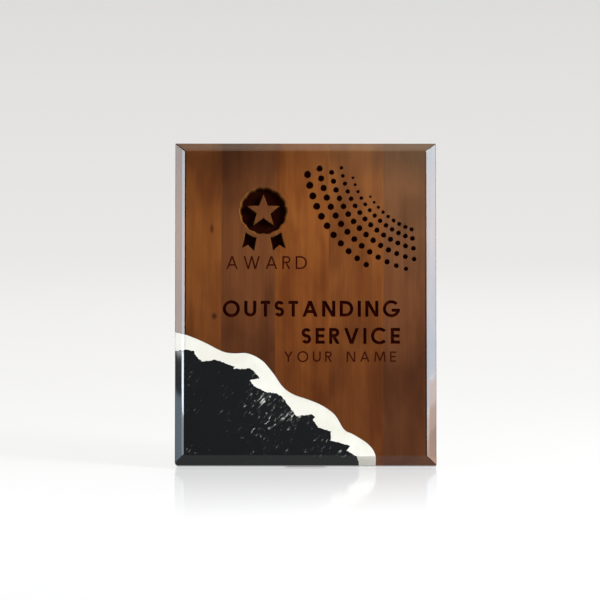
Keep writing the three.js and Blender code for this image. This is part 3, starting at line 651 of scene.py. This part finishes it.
def alphabet(half):
    """Block capitals on a height of 1, drawn by the centre lines of strokes of twice this half width."""
    low, high = half, 1 - half
    bowl = (high - low) / 4

    def stem(foot_x, head_x=None, foot=0.0, head=1.0):
        head_x = foot_x if head_x is None else head_x
        run = half * hypot(1, (head_x - foot_x) / (head - foot))
        return [(foot_x - run, foot), (foot_x + run, foot), (head_x + run, head), (head_x - run, head)]

    def level(left, right, z):
        return rectangle(left, right, z - half, z + half)

    def bow(x, z, radius, start, end):
        steps = max(4, round((end - start) / 9))
        turns = [radians(start + (end - start) * k / steps) for k in range(steps + 1)]
        return arc(x, z, radius + half, turns) + arc(x, z, radius - half, turns)[::-1]

    return {
        "A": (0.97, [stem(0.11, 0.485), stem(0.86, 0.485), level(0.2, 0.77, 0.32)]),
        "C": (0.98, [bow(0.54, 0.5, 0.54 - half, 42, 318)]),
        "D": (0.86, [
            stem(half), level(0, 0.37, low), level(0, 0.37, high), bow(0.36, 0.5, 0.5 - half, -90, 90),
        ]),
        "E": (0.58, [stem(half), level(0, 0.58, low), level(0, 0.55, 0.5), level(0, 0.58, high)]),
        "G": (1.08, [bow(0.54, 0.5, 0.54 - half, 42, 360), level(0.56, 1.08, 0.5 - half)]),
        "I": (2 * half, [stem(half)]),
        "M": (1.1, [stem(0.06, 0.16), stem(1.04, 0.94), stem(0.55, 0.19, 0.1), stem(0.55, 0.91, 0.1)]),
        "N": (0.83, [stem(half), stem(0.83 - half), stem(0.7, 0.13)]),
        "O": (1.08, [bow(0.54, 0.5, 0.54 - half, 0, 180), bow(0.54, 0.5, 0.54 - half, 180, 360)]),
        "R": (0.67, [
            stem(half), level(0, 0.36, high), level(0, 0.36, 0.52),
            bow(0.35, (0.52 + high) / 2, (high - 0.52) / 2, -90, 90), stem(0.56, 0.3, 0, 0.45),
        ]),
        "S": (2 * (bowl + half), [
            bow(bowl + half, high - bowl, bowl, 25, 270), bow(bowl + half, low + bowl, bowl, -155, 90),
        ]),
        "T": (0.6, [level(0, 0.6, high), stem(0.3)]),
        "U": (0.76, [
            stem(half, half, 0.37), stem(0.76 - half, 0.76 - half, 0.37),
            bow(0.38, 0.38, 0.38 - half, 180, 360),
        ]),
        "V": (0.93, [stem(0.465, 0.11), stem(0.465, 0.82)]),
        "W": (1.34, [stem(0.4, 0.11), stem(0.4, 0.67), stem(0.94, 0.67), stem(0.94, 1.23)]),
        "Y": (0.86, [stem(0.43, 0.1, 0.44), stem(0.43, 0.76, 0.44), stem(0.43, 0.43, 0, 0.46)]),
    }


def engrave_line(text, baseline, cap, stroke, depth, right, gap=None, left=None):
    """Engraves a line that ends at the right. Its letters' gaps are given, or fill out to the left."""
    letters = alphabet(stroke / cap / 2)
    word_space = 0.55
    widths = [word_space if letter == " " else letters[letter][0] for letter in text]
    if gap is None:
        gap = (right - left - sum(widths) * cap) / (len(text) - 1)
    x = right - sum(widths) * cap - gap * (len(text) - 1)
    rounds = []  # strokes that touch go into different rounds of cutting
    for letter, width in zip(text, widths):
        for k, outline in enumerate(letters[letter][1] if letter != " " else []):
            if k == len(rounds):
                rounds.append([])
            rounds[k].append([(x + px * cap, baseline + pz * cap) for px, pz in outline])
        x += width * cap + gap
    for outlines in rounds:
        engrave(burner(outlines, depth))


for title, baseline in (("OUTSTANDING", 116), ("SERVICE", 94.7)):
    engrave_line(title, baseline, 12.4, 2.5, TITLE_DEPTH, 175.6, gap=3.4)
engrave_line("AWARD", 153.3, 10.2, 1.25, FINE_DEPTH, 103, left=39.6)
engrave_line("YOUR NAME", 80.6, 8.1, 1.15, FINE_DEPTH, 172.5, left=85)

# ---- Keyhole plate ----
# A pressed steel plate with a keyhole slot, bright nickel plated. It lies flush in a recess routed in the
# back of the middle stave, over a deeper pocket for the head of the screw that it hangs on.
PLATE_RADIUS = 8
PLATE_LOW, PLATE_HIGH = 214, 237.8  # the centres of its round ends
PLATE_THICKNESS = 1.5
ENTRY_HEIGHT, SLOT_TOP = 221.5, 232.5
ENTRY_RADIUS, SLOT_RADIUS = 5, 2.8
KEYHOLE_SCREWS = (212, 239.8)
COUNTERSINK_RADIUS = 3.2
COUNTERSINK_RIM = 0.02  # a hair proud of the sheet, so that the cut comes out clean
RECESS_CLEARANCE, RECESS_DEPTH = 0.3, 1.8
POCKET_CLEARANCE, POCKET_DEPTH = 0.6, 9
METAL_EDGE = 0.2  # how far the edges of pressed metal are rounded


def stadium(x, low, high, radius, steps=14):
    """An upright slot with round ends, between two centres."""
    turns = [pi * k / steps for k in range(steps + 1)]
    return arc(x, high, radius, turns) + arc(x, low, -radius, turns)


def nickel_plate(place=BOARD):
    """Bright nickel over polished steel: silvery and faintly warm, with polishing lines along it. They
    are drawn 1.2 mm wide, because real ones are too fine to show."""
    material, tree, mm = new_material("steel_nickel_plated_polished", place)
    lines = add(tree, "VectorMath", "MULTIPLY", {0: mm, 1: (1 / 1.2, 1 / 1.2, 1 / 26)})
    line = add(tree, "TexNoise", {}, {"Vector": lines, "Scale": 1, "Detail": 1})
    colour = add(tree, "ValToRGB", {"stops": [(0.3, "#a5a29c"), (0.7, "#bfbdb8")]}, {"Fac": line})
    dull = add(tree, "TexNoise", {}, {"Vector": mm, "Scale": 1 / 6, "Detail": 1})
    dull = add(tree, "MapRange", {}, {0: dull, 1: 0.3, 2: 0.7, 3: 0.2, 4: 0.36})
    scratched = add(tree, "Bump", {}, {"Height": line, "Strength": 0.05, "Distance": 0.01 * MM})
    shader = add(tree, "BsdfPrincipled", {}, {
        "Base Color": colour, "Metallic": 1.0, "Roughness": dull, "Normal": scratched,
    })
    add(tree, "OutputMaterial", {}, {"Surface": shader})
    return material


def ease(target, width, segments=2):
    """Rounds the sharp edges of a hard piece by a small amount."""
    eased = target.modifiers.new("eased", "BEVEL")
    eased.width = width * MM
    eased.segments = segments
    eased.limit_method = "ANGLE"
    eased.angle_limit = radians(40)
    settle(target)


NICKEL = nickel_plate()
recess = stadium(0, PLATE_LOW, PLATE_HIGH, PLATE_RADIUS + RECESS_CLEARANCE)
cut(staves[2], prism([recess], OVERCUT, -RECESS_DEPTH, WOOD, ROUTED))
pocket = stadium(0, ENTRY_HEIGHT, SLOT_TOP, ENTRY_RADIUS + POCKET_CLEARANCE)
cut(staves[2], prism([pocket], OVERCUT, -POCKET_DEPTH, WOOD, ROUTED))
sheet = stadium(0, PLATE_LOW, PLATE_HIGH, PLATE_RADIUS)
plate = prism([sheet], 0, -PLATE_THICKNESS, [NICKEL], name="nickel_keyhole_plate")
cut(plate, prism([circle(0, ENTRY_HEIGHT, ENTRY_RADIUS)], OVERCUT, -3, [NICKEL]))
cut(plate, prism([stadium(0, ENTRY_HEIGHT, SLOT_TOP, SLOT_RADIUS)], OVERCUT, -4, [NICKEL]))
for height in KEYHOLE_SCREWS:
    countersink = circle(0, height, COUNTERSINK_RADIUS)
    cut(plate, prism([countersink], COUNTERSINK_RIM, -2, [NICKEL], taper=0.45))
ease(plate, METAL_EDGE)
set_up(plate, "plaque", "keyhole_plate")

# The wood is finished now, back and front.
for number, stave in enumerate(staves, 1):
    set_up(stave, "plaque", f"stave_{number}")

# ---- Screws ----
# Countersunk steel wood screws, 12 mm long, nickel plated. Two hold the keyhole plate and four the hinge, and
# each is left with its cross recess at whatever angle it came tight.
SCREW_LENGTH = 12
SCREW_RADIUS = 1.45
SCREW_HEAD_RADIUS = 2.8
SCREW_HEAD_DEPTH = 1.6
SHANK_LENGTH = 3  # from the top of the head to the thread
THREAD_PITCH = 1.2
THREAD_ROOT = 1.05
TIP_LENGTH = 1.2
CROSS_REACH, CROSS_HALF_WIDTH, CROSS_DEPTH = 1.7, 0.35, 1.2
LEAF_BACK = 1.6
HINGE_SCREWS = ((-10.8, 158.5), (10.8, 158.5), (-10.8, 172.5), (10.8, 172.5))


def turned(name, profile, material, place, sides=32):
    """A lathe-turned piece from (radius, along) points, about the y axis of the place that it is put in."""
    mesh = bmesh.new()
    rings = []
    for radius, along in profile:
        turns = [2 * pi * k / sides for k in range(sides)]
        rings.append([mesh.verts.new((radius * cos(t), along, radius * sin(t))) for t in turns])
    skin(mesh, rings)
    bmesh.ops.transform(mesh, matrix=place, verts=mesh.verts)
    return piece(name, mesh, [material])


def wood_screw(name, x, y, z, turn):
    """A screw with its head flush at (x, y, z), and its cross recess turned by so many degrees."""
    profile = [
        (SCREW_HEAD_RADIUS - 0.1, 0), (SCREW_HEAD_RADIUS, -0.07), (SCREW_HEAD_RADIUS, -0.2),
        (SCREW_RADIUS, -SCREW_HEAD_DEPTH), (SCREW_RADIUS, -SHANK_LENGTH),
    ]
    along = -SHANK_LENGTH
    while along > 2 + THREAD_PITCH - SCREW_LENGTH:
        profile += [
            (THREAD_ROOT, along - 0.35), (THREAD_ROOT, along - 0.7), (SCREW_RADIUS, along - THREAD_PITCH),
        ]
        along -= THREAD_PITCH
    profile += [(THREAD_ROOT * 0.7, TIP_LENGTH - SCREW_LENGTH), (0.12, -SCREW_LENGTH)]
    made = turned(name, profile, NICKEL, Matrix.Translation((x, y, z)))
    cross = []
    half = CROSS_HALF_WIDTH
    for quarter in range(4):
        t = radians(turn + 90 * quarter)
        for reach, aside in ((CROSS_REACH, -half), (CROSS_REACH, half), (half, half)):
            cross.append((
                x + reach * cos(t) - aside * sin(t), z + reach * sin(t) + aside * cos(t)
            ))
    cut(made, prism([cross], y + 0.1, y - CROSS_DEPTH, [NICKEL], taper=0.45))
    return made


for number, height in enumerate(KEYHOLE_SCREWS, 1):
    screw = wood_screw(f"keyhole_wood_screw_{number}", 0, 0, height, 31 * number)
    set_up(screw, "plaque", f"keyhole_screw_{number}")
for number, (x, z) in enumerate(HINGE_SCREWS, 1):
    screw = wood_screw(f"hinge_wood_screw_{number}", x, LEAF_BACK, z, 23 * number)
    set_up(screw, "plaque", f"hinge_screw_{number}")

# ---- Hinge leaf ----
# Pressed steel sheet, 1.4 mm thick, rolled round the pin at its foot into two knuckles with a gap for the
# leg's between them, and stoved with black enamel. Four screws hold it to the back of the middle stave.
PIN_DEPTH, PIN_HEIGHT = 3.3, 150
LEAF_FRONT = 0.2
LEAF_HALF_WIDTH = 16.3
LEAF_TOP = 178
LEAF_CORNER = 3
KNUCKLE_RADIUS = 3
KNUCKLE_BORE = 1.6
KNUCKLE_GAP = 8.3


def black_enamel(place):
    """Stoved black enamel over steel: smooth, with a faint orange peel and a satin shine."""
    material, tree, mm = new_material("steel_black_enamel_satin", place)
    cloud = add(tree, "TexNoise", {}, {"Vector": mm, "Scale": 1 / 8, "Detail": 4})
    colour = add(tree, "ValToRGB", {"stops": [(0.3, "#18191b"), (0.7, "#26272a")]}, {"Fac": cloud})
    rubbed = add(tree, "MapRange", {}, {0: cloud, 1: 0.3, 2: 0.7, 3: 0.3, 4: 0.45})
    peel = add(tree, "TexNoise", {}, {"Vector": mm, "Scale": 1 / 1.1, "Detail": 2})
    peel = add(tree, "Bump", {}, {"Height": peel, "Strength": 0.25, "Distance": 0.03 * MM})
    shader = add(tree, "BsdfPrincipled", {}, {"Base Color": colour, "Roughness": rubbed, "Normal": peel})
    add(tree, "OutputMaterial", {}, {"Surface": shader})
    return material


def strip(outline, left, right, material, name="cutter"):
    """A profile drawn back and up, made solid from left to right."""
    mesh = bmesh.new()
    near = [mesh.verts.new((left, y, z)) for y, z in outline]
    far = [mesh.verts.new((right, y, z)) for y, z in outline]
    mesh.faces.new(near)
    mesh.faces.new(far)
    for k in range(len(near)):
        mesh.faces.new((near[k - 1], near[k], far[k], far[k - 1]))
    return piece(name, mesh, [material])


def round_pin(radius, start, end, step=12):
    """Points round the pin, in the board's frame, from one angle to another in degrees."""
    count = round(abs(end - start) / step)
    turns = [radians(start + (end - start) * k / count) for k in range(count + 1)]
    return arc(PIN_DEPTH, PIN_HEIGHT, radius, turns)


ENAMEL = black_enamel(BOARD)
rolled = [(LEAF_FRONT, LEAF_TOP), (LEAF_FRONT, PIN_HEIGHT + 1)]
rolled += round_pin(KNUCKLE_RADIUS, 180, 472) + round_pin(KNUCKLE_BORE, 472, 180)
rolled += [(LEAF_BACK, PIN_HEIGHT + 1), (LEAF_BACK, LEAF_TOP)]
leaf = strip(rolled, -LEAF_HALF_WIDTH, LEAF_HALF_WIDTH, ENAMEL, "enamelled_hinge_leaf")
rounded = [(-LEAF_HALF_WIDTH, PIN_HEIGHT - 5), (LEAF_HALF_WIDTH, PIN_HEIGHT - 5)]
for side, start in ((1, 0), (-1, 90)):
    turns = [radians(start + 15 * k) for k in range(7)]
    rounded += arc(side * (LEAF_HALF_WIDTH - LEAF_CORNER), LEAF_TOP - LEAF_CORNER, LEAF_CORNER, turns)
cut(leaf, prism([rounded], -OVERCUT, 8, [ENAMEL]), "INTERSECT")
gap = rectangle(-KNUCKLE_GAP, KNUCKLE_GAP, PIN_HEIGHT - 6, PIN_HEIGHT + 3.6)
cut(leaf, prism([gap], -2, 9, [ENAMEL]))
for x, z in HINGE_SCREWS:
    countersink = circle(x, z, COUNTERSINK_RADIUS)
    cut(leaf, prism([countersink], LEAF_BACK + COUNTERSINK_RIM, LEAF_FRONT - 0.8, [ENAMEL], taper=0.4))
ease(leaf, METAL_EDGE)
set_up(leaf, "plaque", "hinge_leaf")

# ---- Hinge pin ----
# A nickel-plated steel pin through the knuckles of leaf and leg, with both ends peened over so that it stays.
PIN_RADIUS = 1.5
PIN_HALF_LENGTH = 17.1

ALONG_X = Matrix.Rotation(-pi / 2, 4, "Z")
along_pin = Matrix.Translation((0, PIN_DEPTH, PIN_HEIGHT)) @ ALONG_X
peened = [
    (0.4, PIN_HALF_LENGTH), (1.05, PIN_HALF_LENGTH - 0.08), (1.4, PIN_HALF_LENGTH - 0.3),
    (PIN_RADIUS, PIN_HALF_LENGTH - 0.6),
]
peened += [(radius, -along) for radius, along in peened[::-1]]
pin = turned("peened_hinge_pin", peened, NICKEL, along_pin)
set_up(pin, "plaque", "hinge_pin")

# ---- Strut leg ----
# One pressing of enamelled steel: a tapering channel 1.5 mm thick, with its flanges turned in to the board.
# Its neck is rolled round the pin, and a heel above it stops against the leaf when the strut is open. Its
# sizes are in its own frame, with the pin at the origin and the leg hanging down.
OPEN_ANGLE = radians(18)
STRUT = BOARD @ Matrix.Translation((0, PIN_DEPTH * MM, PIN_HEIGHT * MM)) @ Matrix.Rotation(OPEN_ANGLE, 4, "X")
SOLE_SLANT = OPEN_ANGLE - LEAN
PIN_ABOVE_TABLE = STRUT.translation.z / MM
LEG_BACK = 3
LEG_THICKNESS = 1.5
FLANGE_EDGE = -0.7
NECK, SHOULDER, FOOT = (-5, 8), (-14, 11), (2.5, 15)  # heights (the foot's above its sole) and half widths
HEEL_HALF_WIDTH, HEEL_TOP = 6, 9.6
BEND_RADIUS = 1.9


def table_at(y):
    """How far down the strut's own frame the table is, at some distance out from the pin."""
    return -(PIN_ABOVE_TABLE + y * sin(SOLE_SLANT)) / cos(SOLE_SLANT)


def channel(stations, grow, material, name="cutter"):
    """A pressed channel through (height, half width, flange edge) stations, its walls grown by so much."""
    turns = [pi / 2 * k / 5 for k in range(6)]

    def bend(x, y, radius):
        return [(x - radius * (1 - cos(t)), y - radius * (1 - sin(t))) for t in turns]

    mesh = bmesh.new()
    rings = []
    back, thickness = LEG_BACK + grow, LEG_THICKNESS + 2 * grow
    for z, half, edge in stations:
        half, edge = half + grow, edge - grow
        inner = half - thickness
        outside = [(half, edge)] + bend(half, back, BEND_RADIUS)
        inside = [(inner, edge)] + bend(inner, back - thickness, BEND_RADIUS - LEG_THICKNESS)
        ring = outside + [(-x, y) for x, y in outside[::-1] + inside] + inside[::-1]
        rings.append([mesh.verts.new((x, y, z)) for x, y in ring])
    skin(mesh, rings)
    return piece(name, mesh, [material])


LEG_ENAMEL = black_enamel(STRUT)
foot = table_at(0) + FOOT[0]
leg = channel([
    (NECK[0], NECK[1], 0.95), (SHOULDER[0], SHOULDER[1], FLANGE_EDGE), (foot, FOOT[1], FLANGE_EDGE),
], 0, LEG_ENAMEL, "pressed_strut_leg")
heel = [(HEEL_HALF_WIDTH, 0.5), (HEEL_HALF_WIDTH, HEEL_TOP - 1), (HEEL_HALF_WIDTH - 1, HEEL_TOP)]
tongue = [(NECK[1], NECK[0] - 1), (NECK[1], 0), *heel]
tongue += [(-x, z) for x, z in tongue[::-1]]
cut(leg, prism([tongue], LEG_BACK, LEG_BACK - LEG_THICKNESS, [LEG_ENAMEL]), "UNION")
barrel = [(KNUCKLE_RADIUS - 0.01, -NECK[1] + 0.02), (KNUCKLE_RADIUS - 0.01, NECK[1] - 0.02)]
cut(leg, turned("cutter", barrel, LEG_ENAMEL, ALONG_X, 40), "UNION")
cut(leg, turned("cutter", [(KNUCKLE_BORE, -9), (KNUCKLE_BORE, 9)], LEG_ENAMEL, ALONG_X))
ease(leg, METAL_EDGE)
set_up(leg, "strut", "strut_leg", STRUT)

# ---- Strut boot ----
# A moulded rubber boot pushed over the leg's foot. Its sole is slanted to lie flat on the table when the
# strut is open, and has three grooves for grip.
BOOT_HALF_WIDTH = 16.35
BOOT_FRONT, BOOT_BACK = -2.05, 4.35
BOOT_HEIGHT = 12
GROOVES = (-0.5, 1.15, 2.8)
GROOVE_HALF_WIDTH, GROOVE_DEPTH = 0.4, 0.5


def moulded_rubber(place):
    """Moulded rubber: dark grey and matt, with the mould's fine grain and a dusty bloom."""
    material, tree, mm = new_material("rubber_moulded_dark_grey", place)
    bloom = add(tree, "TexNoise", {}, {"Vector": mm, "Scale": 1 / 7, "Detail": 4})
    colour = add(tree, "ValToRGB", {"stops": [(0.3, "#262626"), (0.75, "#3a3a39")]}, {"Fac": bloom})
    matt = add(tree, "MapRange", {}, {0: bloom, 1: 0.3, 2: 0.7, 3: 0.68, 4: 0.88})
    grain = add(tree, "TexNoise", {}, {"Vector": mm, "Scale": 1 / 0.5, "Detail": 2})
    grain = add(tree, "Bump", {}, {"Height": grain, "Strength": 0.4, "Distance": 0.06 * MM})
    shader = add(tree, "BsdfPrincipled", {}, {
        "Base Color": colour, "Roughness": matt, "Specular IOR Level": 0.35, "Normal": grain,
    })
    add(tree, "OutputMaterial", {}, {"Surface": shader})
    return material


BOOT_RUBBER = moulded_rubber(STRUT)
boot_top = table_at(0) + BOOT_HEIGHT
boot = strip([
    (BOOT_FRONT, table_at(BOOT_FRONT)), (BOOT_BACK, table_at(BOOT_BACK)), (BOOT_BACK, boot_top),
    (BOOT_FRONT, boot_top),
], -BOOT_HALF_WIDTH, BOOT_HALF_WIDTH, BOOT_RUBBER, "moulded_strut_boot")
ease(boot, 0.8, 3)
half_at = [
    (z, SHOULDER[1] + (FOOT[1] - SHOULDER[1]) * (SHOULDER[0] - z) / (SHOULDER[0] - foot), FLANGE_EDGE)
    for z in (boot_top + 2, foot - 0.2)
]
cut(boot, channel(half_at, 0.15, BOOT_RUBBER))
for y in GROOVES:
    groove = rectangle(
        y - GROOVE_HALF_WIDTH, y + GROOVE_HALF_WIDTH, table_at(y) - OVERCUT, table_at(y) + GROOVE_DEPTH
    )
    cut(boot, strip(groove, -BOOT_HALF_WIDTH + 2, BOOT_HALF_WIDTH - 2, BOOT_RUBBER))
set_up(boot, "strut", "strut_boot", STRUT)

# ---- Bumpers ----
# Four moulded rubber bumpers stuck near the corners of the back, which hold the plaque off a wall, clear of
# the folded strut. Each has a rounded nose with a shallow dimple from the mould.
BUMPER_ACROSS = 85
BUMPER_LOW, BUMPER_HIGH = 17, 236
NOSE = [
    (5.7, 0.2), (6, 0.45), (6, 0.8), (5.2, 7.0), (5.0, 7.6), (4.6, 8.0), (4.0, 8.2), (2.6, 8.2), (2.2, 7.9),
    (1.6, 7.6), (0.5, 7.5),
]

BUMPER_RUBBER = moulded_rubber(BOARD)
for level, height in (("bottom", BUMPER_LOW), ("top", BUMPER_HIGH)):
    for side, x in (("left", -BUMPER_ACROSS), ("right", BUMPER_ACROSS)):
        bumper = turned(
            f"rubber_bumper_{level}_{side}", NOSE, BUMPER_RUBBER, Matrix.Translation((x, 0, height)), 40
        )
        set_up(bumper, "plaque", f"bumper_{level}_{side}")

# ---- Studio ----
# A white floor runs far back and greys with distance. Tall soft boxes stand at both sides, where the bevels
# mirror them, with a key light in front, one box overhead and one behind.
MIDDLE = Vector((0, 0, 0.13))
WHITE, COOL, PALE, WARM, SUNNY = "#ffffff", "#d3edff", "#e6f2ff", "#fff0e4", "#ffe6c6"
RIGHT_BOX, LEFT_BOX, LEFT_STRIP = (1.27, -0.39, 0.62), (-1.31, -0.24, 0.3), (-1.21, -0.526, 0.33)


def soft_box(name, where, wide, high, strength, colour):
    """A soft box turned to the plaque. Its strength is the brightness that a mirror shows."""
    light = bpy.data.lights.new(name, "AREA")
    light.shape = "RECTANGLE"
    light.size, light.size_y = wide, high
    light.color = linear(colour)[:3]
    light.energy = strength * wide * high * pi
    made = new_object(name, light)
    made.location = where
    made.rotation_euler = (MIDDLE - Vector(where)).to_track_quat("-Z", "Y").to_euler()
    made.visible_camera = False


for name, (x, y, wide), z, high, strength, colour in (
    # The right bevel mirrors a tall cool box that fades at its foot.
    ("right_box", RIGHT_BOX, 0.43, 0.38, 12.7, COOL),
    ("right_fade_1", RIGHT_BOX, 0.226, 0.028, 9, WHITE),
    ("right_fade_2", RIGHT_BOX, 0.2, 0.024, 7, WARM),
    ("right_fade_3", RIGHT_BOX, 0.166, 0.044, 4.8, WARM),
    # The left bevel mirrors a duller box, and a bright strip beside it along its inner edge.
    ("left_box", LEFT_BOX, 0.422, 0.316, 6.5, WHITE),
    ("left_strip", LEFT_STRIP, 0.423, 0.254, 12.5, PALE),
    ("left_strip_foot", LEFT_STRIP, 0.2655, 0.061, 25, PALE),
    ("left_strip_fade", LEFT_STRIP, 0.205, 0.058, 6, PALE),
    ("left_foot", LEFT_BOX, 0.186, 0.073, 3, COOL),
):
    soft_box(name, (x, y, z), wide, high, strength, colour)
soft_box("key", (1.0, -0.68, 0.75), 0.35, 0.35, 50, WHITE)
soft_box("overhead", (0, 0.25, 1.5), 1.2, 0.9, 0.72, SUNNY)
soft_box("back_fill", (0.5, 1.8, 1.2), 1.0, 0.8, 4, WHITE)

floor_mesh = bmesh.new()
bmesh.ops.create_grid(floor_mesh, x_segments=1, y_segments=1, size=60)
floor_data = bpy.data.meshes.new("studio_floor")
floor_mesh.to_mesh(floor_data)
floor_mesh.free()
floor = new_object("studio_floor", floor_data)
floor.location.z = -0.0002  # just under the board and the boot, which touch the table
floor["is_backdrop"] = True

sweep = bpy.data.materials.new("white_gloss_floor")
tree = blank_tree(sweep)
place = add(tree, "TexCoord", {}, {}).outputs["Object"]
back = add(tree, "SeparateXYZ", {}, {0: place}).outputs["Y"]
# Metres behind the plaque, squeezed so that 0 is 1.5 m in front of it and 1 is far away.
near = add(tree, "Math", "ADD", {0: back, 1: 1.5})
far = add(tree, "Math", "ADD", {0: back, 1: 5.5})
squeezed = add(tree, "Math", {"operation": "DIVIDE", "use_clamp": True}, {0: near, 1: far})
greys = [
    (0.0, "#fbfbfb"), (0.27, "#fcfcfc"), (0.34, "#f7f7f6"), (0.45, "#f0efef"), (0.575, "#e9e8e6"),
    (0.706, "#e2e1df"), (0.85, "#dddcda"),
]
grey = add(tree, "ValToRGB", {"stops": greys}, {"Fac": squeezed})
# Polished surfaces see the floor dimmer than the eye does, as if through a polarising sheet.
ray = add(tree, "LightPath", {}, {})
glow = add(tree, "MapRange", {}, {0: ray.outputs["Is Camera Ray"], 1: 0.0, 2: 1.0, 3: 0.5, 4: 0.8})
painted = add(tree, "BsdfPrincipled", {}, {
    "Base Color": linear("#7c7c7c"), "Roughness": 1.0, "Specular IOR Level": 0.0, "Emission Color": grey,
    "Emission Strength": glow,
})
# The floor is polished round the plaque's foot and duller away from it.
mirror = add(tree, "BsdfGlossy", {}, {"Color": (1, 1, 1, 1), "Roughness": 0.1})
polish = add(tree, "MapRange", {"interpolation_type": "SMOOTHSTEP"}, {
    0: back, 1: -0.5, 2: 0.05, 3: 0.0, 4: 0.36,
})
joined = add(tree, "MixShader", {}, {0: polish, 1: painted, 2: mirror})
add(tree, "OutputMaterial", {}, {"Surface": joined})
floor_data.materials.append(sweep)
floor.visible_diffuse = False

world = bpy.data.worlds.new("studio_air")
bpy.context.scene.world = world
tree = blank_tree(world)
# Polished surfaces see a dark studio in front of the plaque and a pale one behind it.
ray = add(tree, "LightPath", {}, {})
towards = add(tree, "TexCoord", {}, {}).outputs["Generated"]
towards = add(tree, "SeparateXYZ", {}, {0: towards}).outputs["Y"]
mirrored = add(tree, "MapRange", {}, {0: towards, 1: -0.25, 2: 0.35, 3: 0.0, 4: 1.0})
mirrored = add(tree, "Mix", {"data_type": "RGBA"}, {
    0: mirrored, 6: linear("#22211f"), 7: linear("#f4f3f2"),
})
soft = add(tree, "Mix", {"data_type": "RGBA"}, {
    0: ray.outputs["Is Glossy Ray"], 6: linear("#a9a8a6"), 7: mirrored.outputs[2],
})
seen = add(tree, "Mix", {"data_type": "RGBA"}, {
    0: ray.outputs["Is Camera Ray"], 6: soft.outputs[2], 7: linear("#dddcda"),
})
air = add(tree, "Background", {}, {"Color": seen.outputs[2]})
add(tree, "OutputWorld", {}, {"Surface": air})

# ---- Bounds ----
# The bounds of the finished plaque's outside are taken, with each piece on its body.
low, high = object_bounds()
